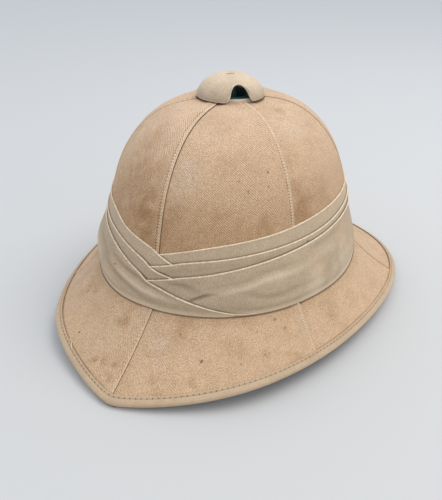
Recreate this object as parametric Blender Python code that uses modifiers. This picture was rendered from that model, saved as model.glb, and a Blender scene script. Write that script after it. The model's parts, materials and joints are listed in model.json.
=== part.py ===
# Pith helmet: moulded cork shell, six cloth panels, wrapped puggaree, bound brim and vented cap.
# Metres. +X is the pointed front peak, +Y the wearer's left, +Z up, and z = 0 is the table it stands on.
import functools
import math

import bmesh
import bpy
import numpy as np
from mathutils import Vector

MM = 0.001
TINY = 1e-6

# Crown, measured on the outer face of the cloth.
CROWN_FRONT = 112.3 * MM      # centre to front of the crown at its base
CROWN_BACK = 107.6 * MM
CROWN_SIDE = 96.0 * MM
CROWN_BASE_Z = 40.8 * MM      # where the puggaree's lower edge meets the brim
CROWN_RISE = 118.2 * MM
CROWN_LEAN = -1.5 * MM        # the top sits this far behind the base's centre
VENT_HOLE_RADIUS = 15 * MM

# Fullness of the crown against a plain ellipsoid, by elevation above its base.
CROWN_SWELL = [
    # elevation, swell
    (0, 1.000),
    (20, 1.0025),
    (40, 1.068),
    (60, 1.082),
    (75, 1.0345),
    (90, 1.000),
]

# Outline of the bound brim. It is the same on both sides; angle 0 is the front peak, 180 the back.
BRIM_EDGE = [
    # angle, radius, height of the underside (mm)
    (0, 174.0, 0.0),
    (15, 162.4, 4.4),
    (30, 153.0, 9.8),
    (45, 141.0, 10.6),
    (60, 132.0, 9.8),
    (80, 128.0, 9.2),
    (100, 133.6, 8.2),
    (120, 146.4, 5.4),
    (140, 159.0, 1.8),
    (160, 166.0, 0.0),
    (172, 172.4, 0.0),
    (180, 174.2, 0.0),
]
BRIM_START = 5.2 * MM         # how far the crown has flared out where the brim starts
BRIM_SAG = 2.5 * MM           # the brim is dished by this much between its start and its edge
BRIM_SLOPE = 24               # degrees that it falls towards its edge, on the whole
FLARE_ELEVATION = 6           # the crown starts to flare below this elevation

# Walls.
CLOTH = 1.0 * MM
GAP = 0.35 * MM               # clearance between neighbouring pieces
CORK = 4.0 * MM
CORK_AT_EDGE = 1.6 * MM       # the cork is shaved thin under the binding
SEAM_GAP = 0.4 * MM
SEAMS = (0, 54, 117, 180, 243, 306, 360)
CELLS_PER_PANEL = 8           # round the helmet, between two seams
CROWN_CELLS = 7               # up the crown

# Binding sewn over the brim's edge.
BINDING_WIDTH = 8.5 * MM
BINDING_WALL = 0.9 * MM
BINDING_NOSE = 1.6 * MM       # how far it stands out past the edge
NOSE_ROUND = 1.7 * MM         # half the height of the nose
NOSE_SHOULDER = 0.75          # how far out its shoulders are, as a share of the whole

# Puggaree: three folds of one cloth. Each starts under itself at the front, goes round by the left
# side and the back, and ends over its own start. Angle runs on from 0 past 360 along the cloth.
FOLD_WALL = 1.0 * MM
FOOT_GAP = 0.8 * MM           # upright clearance between the wrap's foot and the brim
FOOT_HEIGHT = 6 * MM          # its foot clears what lies under it over this height
FOLD_TUCK = 3.5 * MM          # how far a fold reaches down under the next one
FOLD_LEAST = 1.5 * MM         # and how wide it is at least
FOLD_ROWS = (0, 0.3, 0.65, 1)         # down a fold, from its top edge
WRAP_ROWS = (0, 0.14, 0.35, 0.65, 1)  # down the wrap's face
WRAP_BACK_ROWS = (0, 0.25, 0.65, 1)   # down its back
WRAP_SWELL = 24 * MM          # its face has swelled to its full stand this far below its top edge
CLEARED = 0.3 * MM            # a row clears what lies under it this far past its neighbour rows
CROSSING = 41                 # degrees each side of the front where the folds cross
UPPER_FOLD = [
    # angle, top edge (mm above the table)
    (-4, 77.6), (1, 80.2), (9, 84.2), (16, 87.3), (30, 91.0), (46, 93.6), (65, 96.4), (90, 98.4),
    (135, 99.5), (180, 100.0), (225, 99.5), (270, 98.4), (300, 97.0), (322, 96.0), (332, 94.6),
    (341, 89.6), (350, 85.9), (356, 83.2), (360, 80.4), (367, 74.2),
]
MIDDLE_FOLD = [
    # angle, top edge
    (-4, 70.2), (5, 75.1), (11, 77.8), (23, 80.8), (37, 83.0), (56, 85.1), (76, 87.3), (96, 89.8),
    (135, 91.0), (180, 91.5), (225, 91.0), (264, 89.8), (300, 87.5), (322, 85.6), (332, 83.4),
    (342, 80.0), (352, 75.0), (357, 72.0), (361, 69.0), (368, 64.8),
]
LOWER_WRAP = [
    # angle, top edge, how far its face stands out from the crown
    (-5, 59.8, 2.2), (6, 66.0, 3.8), (17, 70.0, 5.0), (30, 74.2, 5.6), (45, 78.0, 6.0), (55, 80.0, 6.0),
    (68, 82.0, 6.0), (82, 83.6, 6.0), (97, 84.4, 6.0), (135, 85.0, 6.0), (180, 85.0, 6.0),
    (225, 85.0, 6.0), (263, 84.4, 6.0), (300, 81.0, 6.1), (322, 77.8, 6.2), (330, 76.0, 6.3),
    (340, 71.6, 6.4), (349, 66.0, 6.5), (357, 61.0, 6.6), (365, 56.7, 6.8), (377, 50.5, 7.0),
    (390, 43.0, 7.2),
]

# Vent cap on top of the crown, and what holds it.
CAP_RADIUS = 24.9 * MM
CAP_RISE = 17.6 * MM
CAP_WALL = 2.0 * MM
CAP_RIM_Z = 160.4 * MM
NOTCH_WIDTH = 9.8 * MM        # of its round top
NOTCH_FOOT = 14.0 * MM        # it spreads to this at the rim
NOTCH_HEIGHT = 10.6 * MM
NOTCH_START = 5.5 * MM        # how near the cap's axis it is cut
NOTCH_SIDES = 14
NOTCH_ANGLES = (42, 222)
COLLAR_TOP = CAP_RIM_Z + 1.4 * MM
COLLAR_OUTER = 13.3 * MM
COLLAR_BORE = 11.3 * MM
COLLAR_FLANGE = 18.0 * MM
COLLAR_FLANGE_WALL = 1.2 * MM
COLLAR_DEPTH = 9.0 * MM
BRIDGE_WIDTH = 8.0 * MM
BRIDGE_WALL = 3.0 * MM
BRIDGE_LENGTH = 24.6 * MM     # its ends lie inside the collar's wall
BRIDGE_LIFT = 0.5 * MM        # above the collar's foot
POST_RADIUS = 3.0 * MM
POST_DROP = 0.3 * MM          # the cap's dome is this much lower at the post's rim than at its middle
POST_STUB = 1.5 * MM          # it comes this far out below the collar
TURNED_STEPS = 24

LOOKS = {
    # material: base colour, roughness
    "cork": ((0.40, 0.27, 0.16), 0.85),
    "drill_cloth": ((0.60, 0.40, 0.24), 0.90),
    "puggaree_cloth": ((0.50, 0.38, 0.25), 0.90),
    "binding_tape": ((0.62, 0.45, 0.27), 0.85),
    "cap_cloth": ((0.58, 0.46, 0.33), 0.88),
    "dark_metal": ((0.06, 0.08, 0.07), 0.55),
}


def curve_through(rows, column=1):
    """A function: the natural cubic curve through one column of a table."""
    known = np.array([row[0] for row in rows], float)
    value = np.array([row[column] for row in rows], float)
    step = np.diff(known)
    slope = np.diff(value) / step
    count = len(known)
    system = np.eye(count)
    right = np.zeros(count)
    for i in range(1, count - 1):
        system[i, i - 1:i + 2] = step[i - 1], 2 * (step[i - 1] + step[i]), step[i]
        right[i] = 6 * (slope[i] - slope[i - 1])
    bend = np.linalg.solve(system, right)

    def read(at):
        at = min(max(at, known[0]), known[-1])
        i = min(max(int(np.searchsorted(known, at)) - 1, 0), count - 2)
        a = (known[i + 1] - at) / step[i]
        b = 1 - a
        curve = ((a ** 3 - a) * bend[i] + (b ** 3 - b) * bend[i + 1]) * step[i] ** 2 / 6
        return float(a * value[i] + b * value[i + 1] + curve)

    return read


def fold_angle(angle):
    """The same angle on the wearer's left, where the tables are written: 0 to 180."""
    return abs((angle + 180) % 360 - 180)


# ---- the helmet's outer surface ----

crown_swell = curve_through(CROWN_SWELL)
edge_radius = curve_through(BRIM_EDGE, 1)
edge_underside = curve_through(BRIM_EDGE, 2)


def crown_radius(angle):
    c, s = math.cos(math.radians(angle)), math.sin(math.radians(angle))
    length = (CROWN_FRONT + CROWN_BACK) / 2 + (CROWN_FRONT - CROWN_BACK) / 2 * c
    return 1 / math.hypot(c / length, s / CROWN_SIDE)


def crown_profile(angle, elevation):
    """Radius, height and backward lean of the crown at an elevation above its base."""
    swell = crown_swell(elevation)
    rise = swell * math.sin(math.radians(elevation))
    radius = crown_radius(angle) * swell * math.cos(math.radians(elevation))
    return radius, CROWN_BASE_Z + CROWN_RISE * rise, CROWN_LEAN * rise


@functools.lru_cache(maxsize=None)
def hole_elevation(angle):
    """Elevation at which the crown's radius is down to the vent hole's."""
    low, high = 60.0, 90.0
    for _ in range(30):
        middle = (low + high) / 2
        radius = crown_profile(angle, middle)[0]
        low, high = (middle, high) if radius > VENT_HOLE_RADIUS else (low, middle)
    return low


def brim_edge(angle):
    """Radius and height of the cloth's face at the edge that the binding covers."""
    side = fold_angle(angle)
    underside = edge_underside(side) * MM
    laminate = BINDING_WALL + GAP + CORK_AT_EDGE + GAP + CLOTH
    thickness = laminate * math.cos(math.radians(BRIM_SLOPE))
    return edge_radius(side) * MM - BINDING_NOSE, underside + thickness


@functools.lru_cache(maxsize=None)
def skin_place(angle, along):
    """Point on the cloth's face. along is 0 at the brim's edge, 1 where the brim starts,
    2 where the crown has stopped flaring, and 3 at the vent hole."""
    edge_r, edge_z = brim_edge(angle)
    start_r, start_z = crown_radius(angle) + BRIM_START, CROWN_BASE_Z
    lean = 0.0
    if along <= 1:
        radius = edge_r + (start_r - edge_r) * along
        height = edge_z + (start_z - edge_z) * along - 4 * BRIM_SAG * along * (1 - along)
    elif along < 2:
        top_r, top_z, _ = crown_profile(angle, FLARE_ELEVATION)
        next_r, next_z, _ = crown_profile(angle, FLARE_ELEVATION + 1)
        brim_slope = (start_z - edge_z + 4 * BRIM_SAG) / (start_r - edge_r)
        crown_slope = (next_r - top_r) / (next_z - top_z)
        # The corner where the brim's line and the crown's line would meet.
        level_z = start_z + brim_slope * (top_r - start_r - crown_slope * top_z)
        corner_z = level_z / (1 - brim_slope * crown_slope)
        corner_r = top_r + crown_slope * (corner_z - top_z)
        t = along - 1
        radius = (1 - t) ** 2 * start_r + 2 * t * (1 - t) * corner_r + t * t * top_r
        height = (1 - t) ** 2 * start_z + 2 * t * (1 - t) * corner_z + t * t * top_z
        lean = t * t * crown_profile(angle, FLARE_ELEVATION)[2]
    else:
        elevation = FLARE_ELEVATION + (hole_elevation(angle) - FLARE_ELEVATION) * (along - 2)
        radius, height, lean = crown_profile(angle, elevation)
    turn = math.radians(angle)
    return radius * math.cos(turn) + lean, radius * math.sin(turn), height


def skin(angle, along):
    return Vector(skin_place(angle, along))


def skin_normal(angle, along):
    step = 0.02
    low, high = max(along - step, 0.0), min(along + step, 3.0)
    across = skin(angle + 0.5, along) - skin(angle - 0.5, along)
    return across.cross(skin(angle, high) - skin(angle, low)).normalized()


def brim_length(angle):
    return (skin(angle, 1) - skin(angle, 0)).length


def skin_rows(angle):
    """Where the rows of the mesh lie along one meridian, from the brim's edge to the vent hole."""
    bound = BINDING_WIDTH / brim_length(angle)
    brim = [0.0, bound, bound + (1 - bound) / 3, bound + (1 - bound) * 2 / 3, 1.0]
    flare = [4 / 3, 5 / 3]
    crown = [2 + i / CROWN_CELLS for i in range(CROWN_CELLS + 1)]
    return brim + flare + crown


# ---- mesh helpers ----

def new_object(name, mesh, material):
    obj = bpy.data.objects.new(name, mesh)
    parts.objects.link(obj)
    mesh.materials.append(materials[material])
    return obj


def loft(name, sections, closed_round, closed_across):
    """A mesh skinned over sections that have the same number of points. Sections that are closed
    across and not joined round get a cap at each end."""
    bm = bmesh.new()
    rings = [[bm.verts.new(point) for point in section] for section in sections]
    count = len(sections[0])
    pairs = list(zip(rings, rings[1:]))
    if closed_round:
        pairs.append((rings[-1], rings[0]))
    for first, second in pairs:
        for i in range(count if closed_across else count - 1):
            k = (i + 1) % count
            bm.faces.new((first[i], second[i], second[k], first[k]))
    if closed_across and not closed_round:
        bm.faces.new(rings[0])
        bm.faces.new(reversed(rings[-1]))
        bmesh.ops.recalc_face_normals(bm, faces=bm.faces)
    mesh = bpy.data.meshes.new(name)
    bm.to_mesh(mesh)
    bm.free()
    return mesh


def add_wall(obj, thickness, group=None, thin_factor=0.0):
    wall = obj.modifiers.new("wall", "SOLIDIFY")
    wall.thickness = thickness
    wall.offset = -1
    wall.use_even_offset = False
    if group:
        wall.vertex_group = group
        wall.thickness_vertex_group = thin_factor


def boolean(obj, other, operation):
    cut = obj.modifiers.new(operation.lower(), "BOOLEAN")
    cut.operation = operation
    cut.object = other
    cut.solver = "EXACT"


def helper(name, mesh):
    obj = bpy.data.objects.new(name, mesh)
    cutters.objects.link(obj)
    obj.hide_render = True
    obj.display_type = "WIRE"
    return obj


def turned_mesh(name, profile):
    """A closed profile in the XZ plane as a mesh of edges, for a Screw modifier to turn."""
    mesh = bpy.data.meshes.new(name)
    count = len(profile)
    mesh.from_pydata([(r, 0, z) for r, z in profile], [(i, (i + 1) % count) for i in range(count)], [])
    return mesh


def add_turning(obj):
    turn = obj.modifiers.new("turned", "SCREW")
    turn.steps = TURNED_STEPS
    turn.render_steps = TURNED_STEPS
    turn.use_merge_vertices = True
    turn.merge_threshold = 0.00001
    turn.use_smooth_shade = True


def cylinder_mesh(name, radius, depth, segments=16):
    bm = bmesh.new()
    bmesh.ops.create_cone(bm, cap_ends=True, segments=segments, radius1=radius, radius2=radius, depth=depth)
    mesh = bpy.data.meshes.new(name)
    bm.to_mesh(mesh)
    bm.free()
    return mesh


def shade(obj):
    obj.data.shade_smooth()
    obj.data.set_sharp_from_angle(angle=math.radians(40))


def station_angles():
    angles = []
    for left, right in zip(SEAMS, SEAMS[1:]):
        angles += [left + (right - left) * i / CELLS_PER_PANEL for i in range(CELLS_PER_PANEL)]
    return angles


# ---- sub-parts ----

def build_cork_shell():
    """Moulded cork under the cloth: crown and brim in one, hollow, open below and at the vent."""
    inset = CLOTH + GAP
    sections = []
    for angle in station_angles():
        rows = skin_rows(angle)
        sections.append([skin(angle, row) - skin_normal(angle, row) * inset for row in rows])
    obj = new_object("cork_shell", loft("cork_shell", sections, True, False), "cork")
    # The wall is full on the crown and shaved down along the brim.
    group = obj.vertex_groups.new(name="thickness")
    rows = len(sections[0])
    for station, angle in enumerate(station_angles()):
        for row, along in enumerate(skin_rows(angle)):
            full = min(1.0, along) if along > BINDING_WIDTH / brim_length(angle) + TINY else 0.0
            group.add([station * rows + row], full, "REPLACE")
    add_wall(obj, CORK, "thickness", CORK_AT_EDGE / CORK)
    shade(obj)


def build_cover_panels():
    """Six cloth gores from the vent hole to the brim's edge, with a narrow gap at each seam."""
    for number, (left, right) in enumerate(zip(SEAMS, SEAMS[1:]), 1):
        sections = []
        for i in range(CELLS_PER_PANEL + 1):
            angle = left + (right - left) * i / CELLS_PER_PANEL
            side = {0: 1, CELLS_PER_PANEL: -1}.get(i, 0)
            section = []
            for row in skin_rows(angle):
                point = skin(angle, row)
                around = math.degrees(SEAM_GAP / 2 / math.hypot(point.x, point.y))
                section.append(skin(angle + side * around, row))
            sections.append(section)
        name = f"cover_panel_{number}"
        obj = new_object(name, loft(name, sections, False, False), "drill_cloth")
        add_wall(obj, CLOTH)
        shade(obj)


def build_brim_binding():
    """Tape folded over the edge: a C section whose inner face clears the cloth and the cork."""
    below = CLOTH + GAP + CORK_AT_EDGE
    outer_top = GAP + BINDING_WALL
    outer_bottom = -below - GAP - BINDING_WALL
    middle = (outer_top + outer_bottom) / 2
    sections = []
    for angle in station_angles():
        inner = BINDING_WIDTH / brim_length(angle)
        edge, up = skin(angle, 0), skin_normal(angle, 0)
        back, back_up = skin(angle, inner), skin_normal(angle, inner)
        out = (edge - skin(angle, 0.05)).normalized()
        sections.append([
            back + back_up * outer_top,
            back + back_up * GAP,
            edge + up * GAP + out * GAP,
            edge - up * (below + GAP) + out * GAP,
            back - back_up * (below + GAP),
            back + back_up * outer_bottom,
            edge + up * outer_bottom,
            edge + up * (middle - NOSE_ROUND) + out * (BINDING_NOSE * NOSE_SHOULDER),
            edge + up * middle + out * BINDING_NOSE,
            edge + up * (middle + NOSE_ROUND) + out * (BINDING_NOSE * NOSE_SHOULDER),
            edge + up * outer_top,
        ])
    mesh = loft("brim_binding", sections, True, True)
    obj = new_object("brim_binding", mesh, "binding_tape")
    shade(obj)


# ---- puggaree ----

@functools.lru_cache(maxsize=None)
def wall_line(angle):
    """Heights and radii up one meridian, from the brim to above the puggaree."""
    steps = np.linspace(1.0, 2.6, 81)
    points = [skin(angle, step) for step in steps]
    return np.array([p.z for p in points]), np.array([math.hypot(p.x, p.y) for p in points])


def skin_height(angle, stand):
    """Height of the helmet's surface where it stands this far out from the crown's wall."""
    steps = np.linspace(0.55, 2.0, 117)
    points = [skin(angle, step) for step in steps]
    radii = np.array([math.hypot(p.x, p.y) for p in points]) - math.hypot(points[-1].x, points[-1].y)
    heights = np.array([p.z for p in points])
    return float(np.interp(stand, radii[::-1], heights[::-1]))


def stood_off(angle, height, stand):
    """Point that stands out level from the crown's wall, square to the crown's plan."""
    heights, radii = wall_line(angle)
    straight = float(np.interp(max(height, crown_profile(angle, FLARE_ELEVATION)[1]), heights, radii))
    turn = math.radians(angle)
    step = math.radians(0.5)
    before = crown_radius(angle - 0.5) * Vector((math.cos(turn - step), math.sin(turn - step), 0))
    after = crown_radius(angle + 0.5) * Vector((math.cos(turn + step), math.sin(turn + step), 0))
    out = (after - before).cross(Vector((0, 0, 1))).normalized()
    return Vector((straight * math.cos(turn), straight * math.sin(turn), height)) + out * stand


class Fold:
    """One fold of the puggaree: for each station its rows' heights and how far its face stands out."""

    def __init__(self, angles):
        self.angles, self.heights, self.stands = angles, [], []

    def span(self, i):
        return self.angles[max(i - 1, 0)], self.angles[min(i + 1, len(self.angles) - 1)]

    def lay(self, heights, stands):
        self.heights.append(np.array(heights))
        self.stands.append(np.array(stands))

    def face_at(self, angle, height, laying):
        """How far its face stands out there, or 0 where this fold doesn't reach. While it is
        being laid, only its own start can be beneath it."""
        found = 0.0
        for turned in [angle - 360] if laying else [angle - 360, angle, angle + 360]:
            if not self.angles[0] <= turned <= self.angles[-1]:
                continue
            i = min(int(np.searchsorted(self.angles, turned, "right")) - 1, len(self.angles) - 2)
            part = (turned - self.angles[i]) / (self.angles[i + 1] - self.angles[i])
            heights = self.heights[i] * (1 - part) + self.heights[i + 1] * part
            stands = self.stands[i] * (1 - part) + self.stands[i + 1] * part
            if heights[-1] <= height <= heights[0]:
                found = max(found, float(np.interp(height, heights[::-1], stands[::-1])))
        return found


def beneath(laid, span, low, high):
    """The furthest that anything already laid stands out in a patch of the crown."""
    found = 0.0
    for angle in np.linspace(span[0], span[1], 5):
        for height in np.linspace(low, high, 7):
            found = max([found] + [fold.face_at(angle, height, fold is laid[-1]) for fold in laid])
    return found


def beneath_rows(laid, span, rows):
    """The same for each row, over the patch from the row above it to the row below it."""
    found = []
    for k in range(len(rows)):
        high, low = rows[max(k - 1, 0)], rows[min(k + 1, len(rows) - 1)]
        found.append(beneath(laid, span, low - CLEARED, high + CLEARED))
    return found


def fold_stations(table):
    """The shell's own stations along the fold, with twice as many near the front crossing."""
    angles = []
    base = station_angles()
    for turn in (-360, 0, 360):
        for i, angle in enumerate(base):
            following = base[(i + 1) % len(base)] + (360 if i + 1 == len(base) else 0)
            angles.append(angle + turn)
            if fold_angle(angle) <= CROSSING and fold_angle(following) <= CROSSING:
                angles.append((angle + following) / 2 + turn)
    first, last = table[0][0], table[-1][0]
    inside = [angle for angle in angles if first + 1 < angle < last - 1]
    return [first] + inside + [last]


def hidden_edge(next_table, cover_edge, angle):
    """Top edge of the fold that covers this one. At the crossing both of its ends may cover."""
    first, last = next_table[0][0], next_table[-1][0]
    edges = [cover_edge(turned) * MM for turned in (angle - 360, angle, angle + 360)
             if first - 2 <= turned <= last + 2]
    return max(edges)


def build_fold(name, table, next_table, laid):
    """A strip from its own top edge down to where the next fold hides it."""
    top_edge, cover_edge = curve_through(table), curve_through(next_table)
    fold = Fold(fold_stations(table))
    laid.append(fold)
    sections = []
    for i, angle in enumerate(fold.angles):
        top = top_edge(angle) * MM
        bottom = min(hidden_edge(next_table, cover_edge, angle) - FOLD_TUCK, top - FOLD_LEAST)
        rows = [top + (bottom - top) * share for share in FOLD_ROWS]
        inner = [stand + GAP for stand in beneath_rows(laid, fold.span(i), rows)]
        outer = [stand + FOLD_WALL for stand in inner]
        fold.lay(rows, outer)
        outside = [stood_off(angle, z, stand) for z, stand in zip(rows, outer)]
        inside = [stood_off(angle, z, stand) for z, stand in zip(rows, inner)]
        sections.append(outside + inside[::-1])
    obj = new_object(name, loft(name, sections, False, True), "puggaree_cloth")
    shade(obj)


def build_lower_wrap(laid):
    """The wide wrap fills the corner between the crown and the brim, one wall thick at its top edge."""
    name = "puggaree_wrap_lower"
    top_edge, face_stand = curve_through(LOWER_WRAP), curve_through(LOWER_WRAP, 2)
    fold = Fold(fold_stations(LOWER_WRAP))
    laid.append(fold)
    sections = []
    for i, angle in enumerate(fold.angles):
        top, bottom = top_edge(angle) * MM, CROWN_BASE_Z + FOOT_GAP
        foot_inner = beneath(laid, fold.span(i), bottom, bottom + FOOT_HEIGHT) + GAP
        foot = skin_height(angle, foot_inner) + FOOT_GAP
        inner_rows = [top + (foot - top) * share for share in WRAP_BACK_ROWS]
        inner = [stand + GAP for stand in beneath_rows(laid, fold.span(i), inner_rows)]
        rows = [top + (bottom - top) * share for share in WRAP_ROWS]
        outer = []
        for height in rows:
            under = float(np.interp(height, inner_rows[::-1], inner[::-1]))
            swell = math.sin(min(1.0, (top - height) / min(top - bottom, WRAP_SWELL)) * math.pi / 2)
            wanted = (under + FOLD_WALL) * (1 - swell) + face_stand(angle) * MM * swell
            outer.append(max(wanted, under + FOLD_WALL))
        fold.lay(rows, outer)
        section = [stood_off(angle, z, stand) for z, stand in zip(rows[:-1], outer[:-1])]
        for share in (0, 1 / 3, 2 / 3, 1):
            stand = outer[-1] + (foot_inner - outer[-1]) * share
            section.append(stood_off(angle, skin_height(angle, stand) + FOOT_GAP, stand))
        inside = [stood_off(angle, z, stand) for z, stand in zip(inner_rows[:-1], inner[:-1])]
        sections.append(section + inside[::-1])
    obj = new_object(name, loft(name, sections, False, True), "puggaree_cloth")
    shade(obj)


def build_puggaree():
    laid = []
    build_fold("puggaree_fold_upper", UPPER_FOLD, MIDDLE_FOLD, laid)
    build_fold("puggaree_fold_middle", MIDDLE_FOLD, LOWER_WRAP, laid)
    build_lower_wrap(laid)


# ---- vent ----

def dome(radius, rise, z, steps):
    angles = [math.pi / 2 * i / steps for i in range(steps + 1)]
    return [(radius * math.cos(a), z + rise * math.sin(a)) for a in angles]


def build_vent_cap():
    """Cloth-covered dome over the vent hole, with an arched notch in its rim on two sides."""
    outer = dome(CAP_RADIUS, CAP_RISE, CAP_RIM_Z, 7)
    inner = dome(CAP_RADIUS - CAP_WALL, CAP_RISE - CAP_WALL, CAP_RIM_Z, 6)
    profile = outer[::-1] + inner
    profile = [(max(r, 0.0), z) for r, z in profile]
    mesh = bpy.data.meshes.new("vent_cap")
    mesh.from_pydata([(r, 0, z) for r, z in profile], [(i, i + 1) for i in range(len(profile) - 1)], [])
    obj = new_object("vent_cap", mesh, "cap_cloth")
    obj.location.x = CROWN_LEAN
    add_turning(obj)
    for number, angle in enumerate(NOTCH_ANGLES, 1):
        bm = bmesh.new()
        bmesh.ops.create_cone(bm, cap_ends=True, segments=NOTCH_SIDES, radius1=NOTCH_WIDTH / 2,
                              radius2=NOTCH_WIDTH / 2, depth=CAP_RADIUS)
        bmesh.ops.rotate(bm, verts=bm.verts, cent=(0, 0, 0),
                         matrix=Vector((0, 0, 1)).rotation_difference(Vector((1, 0, 0))).to_matrix())
        # The lower half of the round is pulled down and out to the notch's straight sides.
        for vert in bm.verts:
            if vert.co.z < -TINY:
                if abs(vert.co.y) > TINY:
                    vert.co.y = math.copysign(NOTCH_FOOT / 2, vert.co.y)
                vert.co.z = -NOTCH_HEIGHT
        mesh = bpy.data.meshes.new("notch")
        bm.to_mesh(mesh)
        bm.free()
        cutter = helper(f"vent_notch_{number}", mesh)
        turn = math.radians(angle)
        reach = NOTCH_START + CAP_RADIUS / 2
        cutter.location = (CROWN_LEAN + reach * math.cos(turn), reach * math.sin(turn),
                           CAP_RIM_Z + NOTCH_HEIGHT - NOTCH_WIDTH / 2)
        cutter.rotation_euler.z = turn
        boolean(obj, cutter, "DIFFERENCE")


def build_vent_collar():
    """Flanged ring that lines the vent hole, with a bridge across it for the cap's post."""
    seat = COLLAR_TOP - COLLAR_FLANGE_WALL
    foot = COLLAR_TOP - COLLAR_DEPTH
    profile = [(COLLAR_BORE, COLLAR_TOP), (COLLAR_FLANGE, COLLAR_TOP), (COLLAR_FLANGE, seat),
               (COLLAR_OUTER, seat), (COLLAR_OUTER, foot), (COLLAR_BORE, foot)]
    obj = new_object("vent_collar", turned_mesh("vent_collar", profile), "dark_metal")
    obj.location.x = CROWN_LEAN
    add_turning(obj)
    bm = bmesh.new()
    bmesh.ops.create_cube(bm, size=1)
    bmesh.ops.scale(bm, verts=bm.verts, vec=(BRIDGE_LENGTH, BRIDGE_WIDTH, BRIDGE_WALL))
    mesh = bpy.data.meshes.new("bridge")
    bm.to_mesh(mesh)
    bm.free()
    bridge = helper("vent_bridge", mesh)
    bridge.location = (CROWN_LEAN, 0, foot + BRIDGE_LIFT + BRIDGE_WALL / 2)
    boolean(obj, bridge, "UNION")
    bore = helper("post_bore", cylinder_mesh("post_bore", POST_RADIUS + GAP, 2 * COLLAR_DEPTH))
    bore.location = (CROWN_LEAN, 0, foot)
    boolean(obj, bore, "DIFFERENCE")


def build_vent_post():
    """Plain post from under the cap's dome down through the collar's bridge."""
    top = CAP_RIM_Z + CAP_RISE - CAP_WALL - GAP - POST_DROP
    foot = COLLAR_TOP - COLLAR_DEPTH - POST_STUB
    mesh = cylinder_mesh("vent_post", POST_RADIUS, top - foot)
    obj = new_object("vent_post", mesh, "dark_metal")
    obj.location = (CROWN_LEAN, 0, (top + foot) / 2)
    shade(obj)


def make_material(name, colour, roughness):
    material = bpy.data.materials.new(name)
    material.use_nodes = True
    shader = material.node_tree.nodes["Principled BSDF"]
    shader.inputs["Base Color"].default_value = (*colour, 1)
    shader.inputs["Roughness"].default_value = roughness
    shader.inputs["Metallic"].default_value = 0.0
    return material


for old in list(bpy.data.objects):
    bpy.data.objects.remove(old)
parts = bpy.data.collections.new("pith_helmet")
cutters = bpy.data.collections.new("cutters")
for collection in (parts, cutters):
    bpy.context.scene.collection.children.link(collection)
materials = {name: make_material(name, colour, roughness) for name, (colour, roughness) in LOOKS.items()}

build_cork_shell()
build_cover_panels()
build_brim_binding()
build_puggaree()
build_vent_cap()
build_vent_collar()
build_vent_post()
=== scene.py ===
import json
import math

import bmesh
import bpy
import numpy as np
from mathutils import Matrix, Vector, noise

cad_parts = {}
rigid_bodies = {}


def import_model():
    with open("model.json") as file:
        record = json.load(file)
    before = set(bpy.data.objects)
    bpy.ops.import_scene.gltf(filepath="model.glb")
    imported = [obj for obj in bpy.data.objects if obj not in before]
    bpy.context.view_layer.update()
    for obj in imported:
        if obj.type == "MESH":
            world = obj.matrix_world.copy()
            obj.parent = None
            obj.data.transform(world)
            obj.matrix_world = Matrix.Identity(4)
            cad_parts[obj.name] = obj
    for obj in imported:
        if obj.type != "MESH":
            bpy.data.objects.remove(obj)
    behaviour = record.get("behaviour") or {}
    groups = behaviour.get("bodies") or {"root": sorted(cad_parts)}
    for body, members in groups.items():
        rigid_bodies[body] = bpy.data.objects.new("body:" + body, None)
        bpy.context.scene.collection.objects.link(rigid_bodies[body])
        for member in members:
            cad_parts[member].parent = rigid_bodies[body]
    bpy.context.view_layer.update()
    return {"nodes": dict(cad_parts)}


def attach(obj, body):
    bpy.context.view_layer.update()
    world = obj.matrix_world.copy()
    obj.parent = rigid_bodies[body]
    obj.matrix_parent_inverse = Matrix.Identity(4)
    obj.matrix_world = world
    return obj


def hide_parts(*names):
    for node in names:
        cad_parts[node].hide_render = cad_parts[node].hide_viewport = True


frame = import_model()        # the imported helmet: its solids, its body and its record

mm = 0.001

# the camera, at the photograph's angle
photoView = {
    "place": (0.38023, 0.18688, 0.26976),
    "turn": (60.435, -0.374, 117.34),    # degrees
    "lens": 41.332,                      # mm
    "sensor": 36,
    "nearest": 10 * mm,
}


def placeCamera(view):
    data = bpy.data.cameras.new("photoCamera")
    data.lens = view["lens"]
    data.sensor_width = view["sensor"]
    data.clip_start = view["nearest"]
    camera = bpy.data.objects.new("photoCamera", data)
    camera.location = view["place"]
    camera.rotation_euler = [math.radians(degrees) for degrees in view["turn"]]
    bpy.context.scene.collection.objects.link(camera)
    bpy.context.scene.camera = camera


placeCamera(photoView)
print("camera placed")


def curveThrough(table, column=1):
    # natural cubic curve through one column of a table, for one angle or an array of them
    known = np.array([row[0] for row in table], float)
    value = np.array([row[column] for row in table], float)
    step = np.diff(known)
    slope = np.diff(value) / step
    count = len(known)
    system = np.eye(count)
    right = np.zeros(count)
    for i in range(1, count - 1):
        system[i, i - 1:i + 2] = step[i - 1], 2 * (step[i - 1] + step[i]), step[i]
        right[i] = 6 * (slope[i] - slope[i - 1])
    bend = np.linalg.solve(system, right)

    def read(at):
        at = np.clip(at, known[0], known[-1])
        i = np.clip(np.searchsorted(known, at) - 1, 0, count - 2)
        a = (known[i + 1] - at) / step[i]
        b = 1 - a
        curve = ((a ** 3 - a) * bend[i] + (b ** 3 - b) * bend[i + 1]) * step[i] ** 2 / 6
        return a * value[i] + b * value[i + 1] + curve

    return read


def ease(low, high, value):
    t = np.clip((value - low) / (high - low), 0, 1)
    return t * t * (3 - 2 * t)


def plateau(value, rise, level, leave, end):
    # 1 from level to leave, and 0 before rise and after end
    return ease(rise, level, value) * (1 - ease(leave, end, value))


def bump(distance, width):
    return np.exp(-(distance / width) ** 2)


def unit(vectors):
    return vectors / np.maximum(np.linalg.norm(vectors, axis=-1, keepdims=True), 1e-12)


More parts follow.
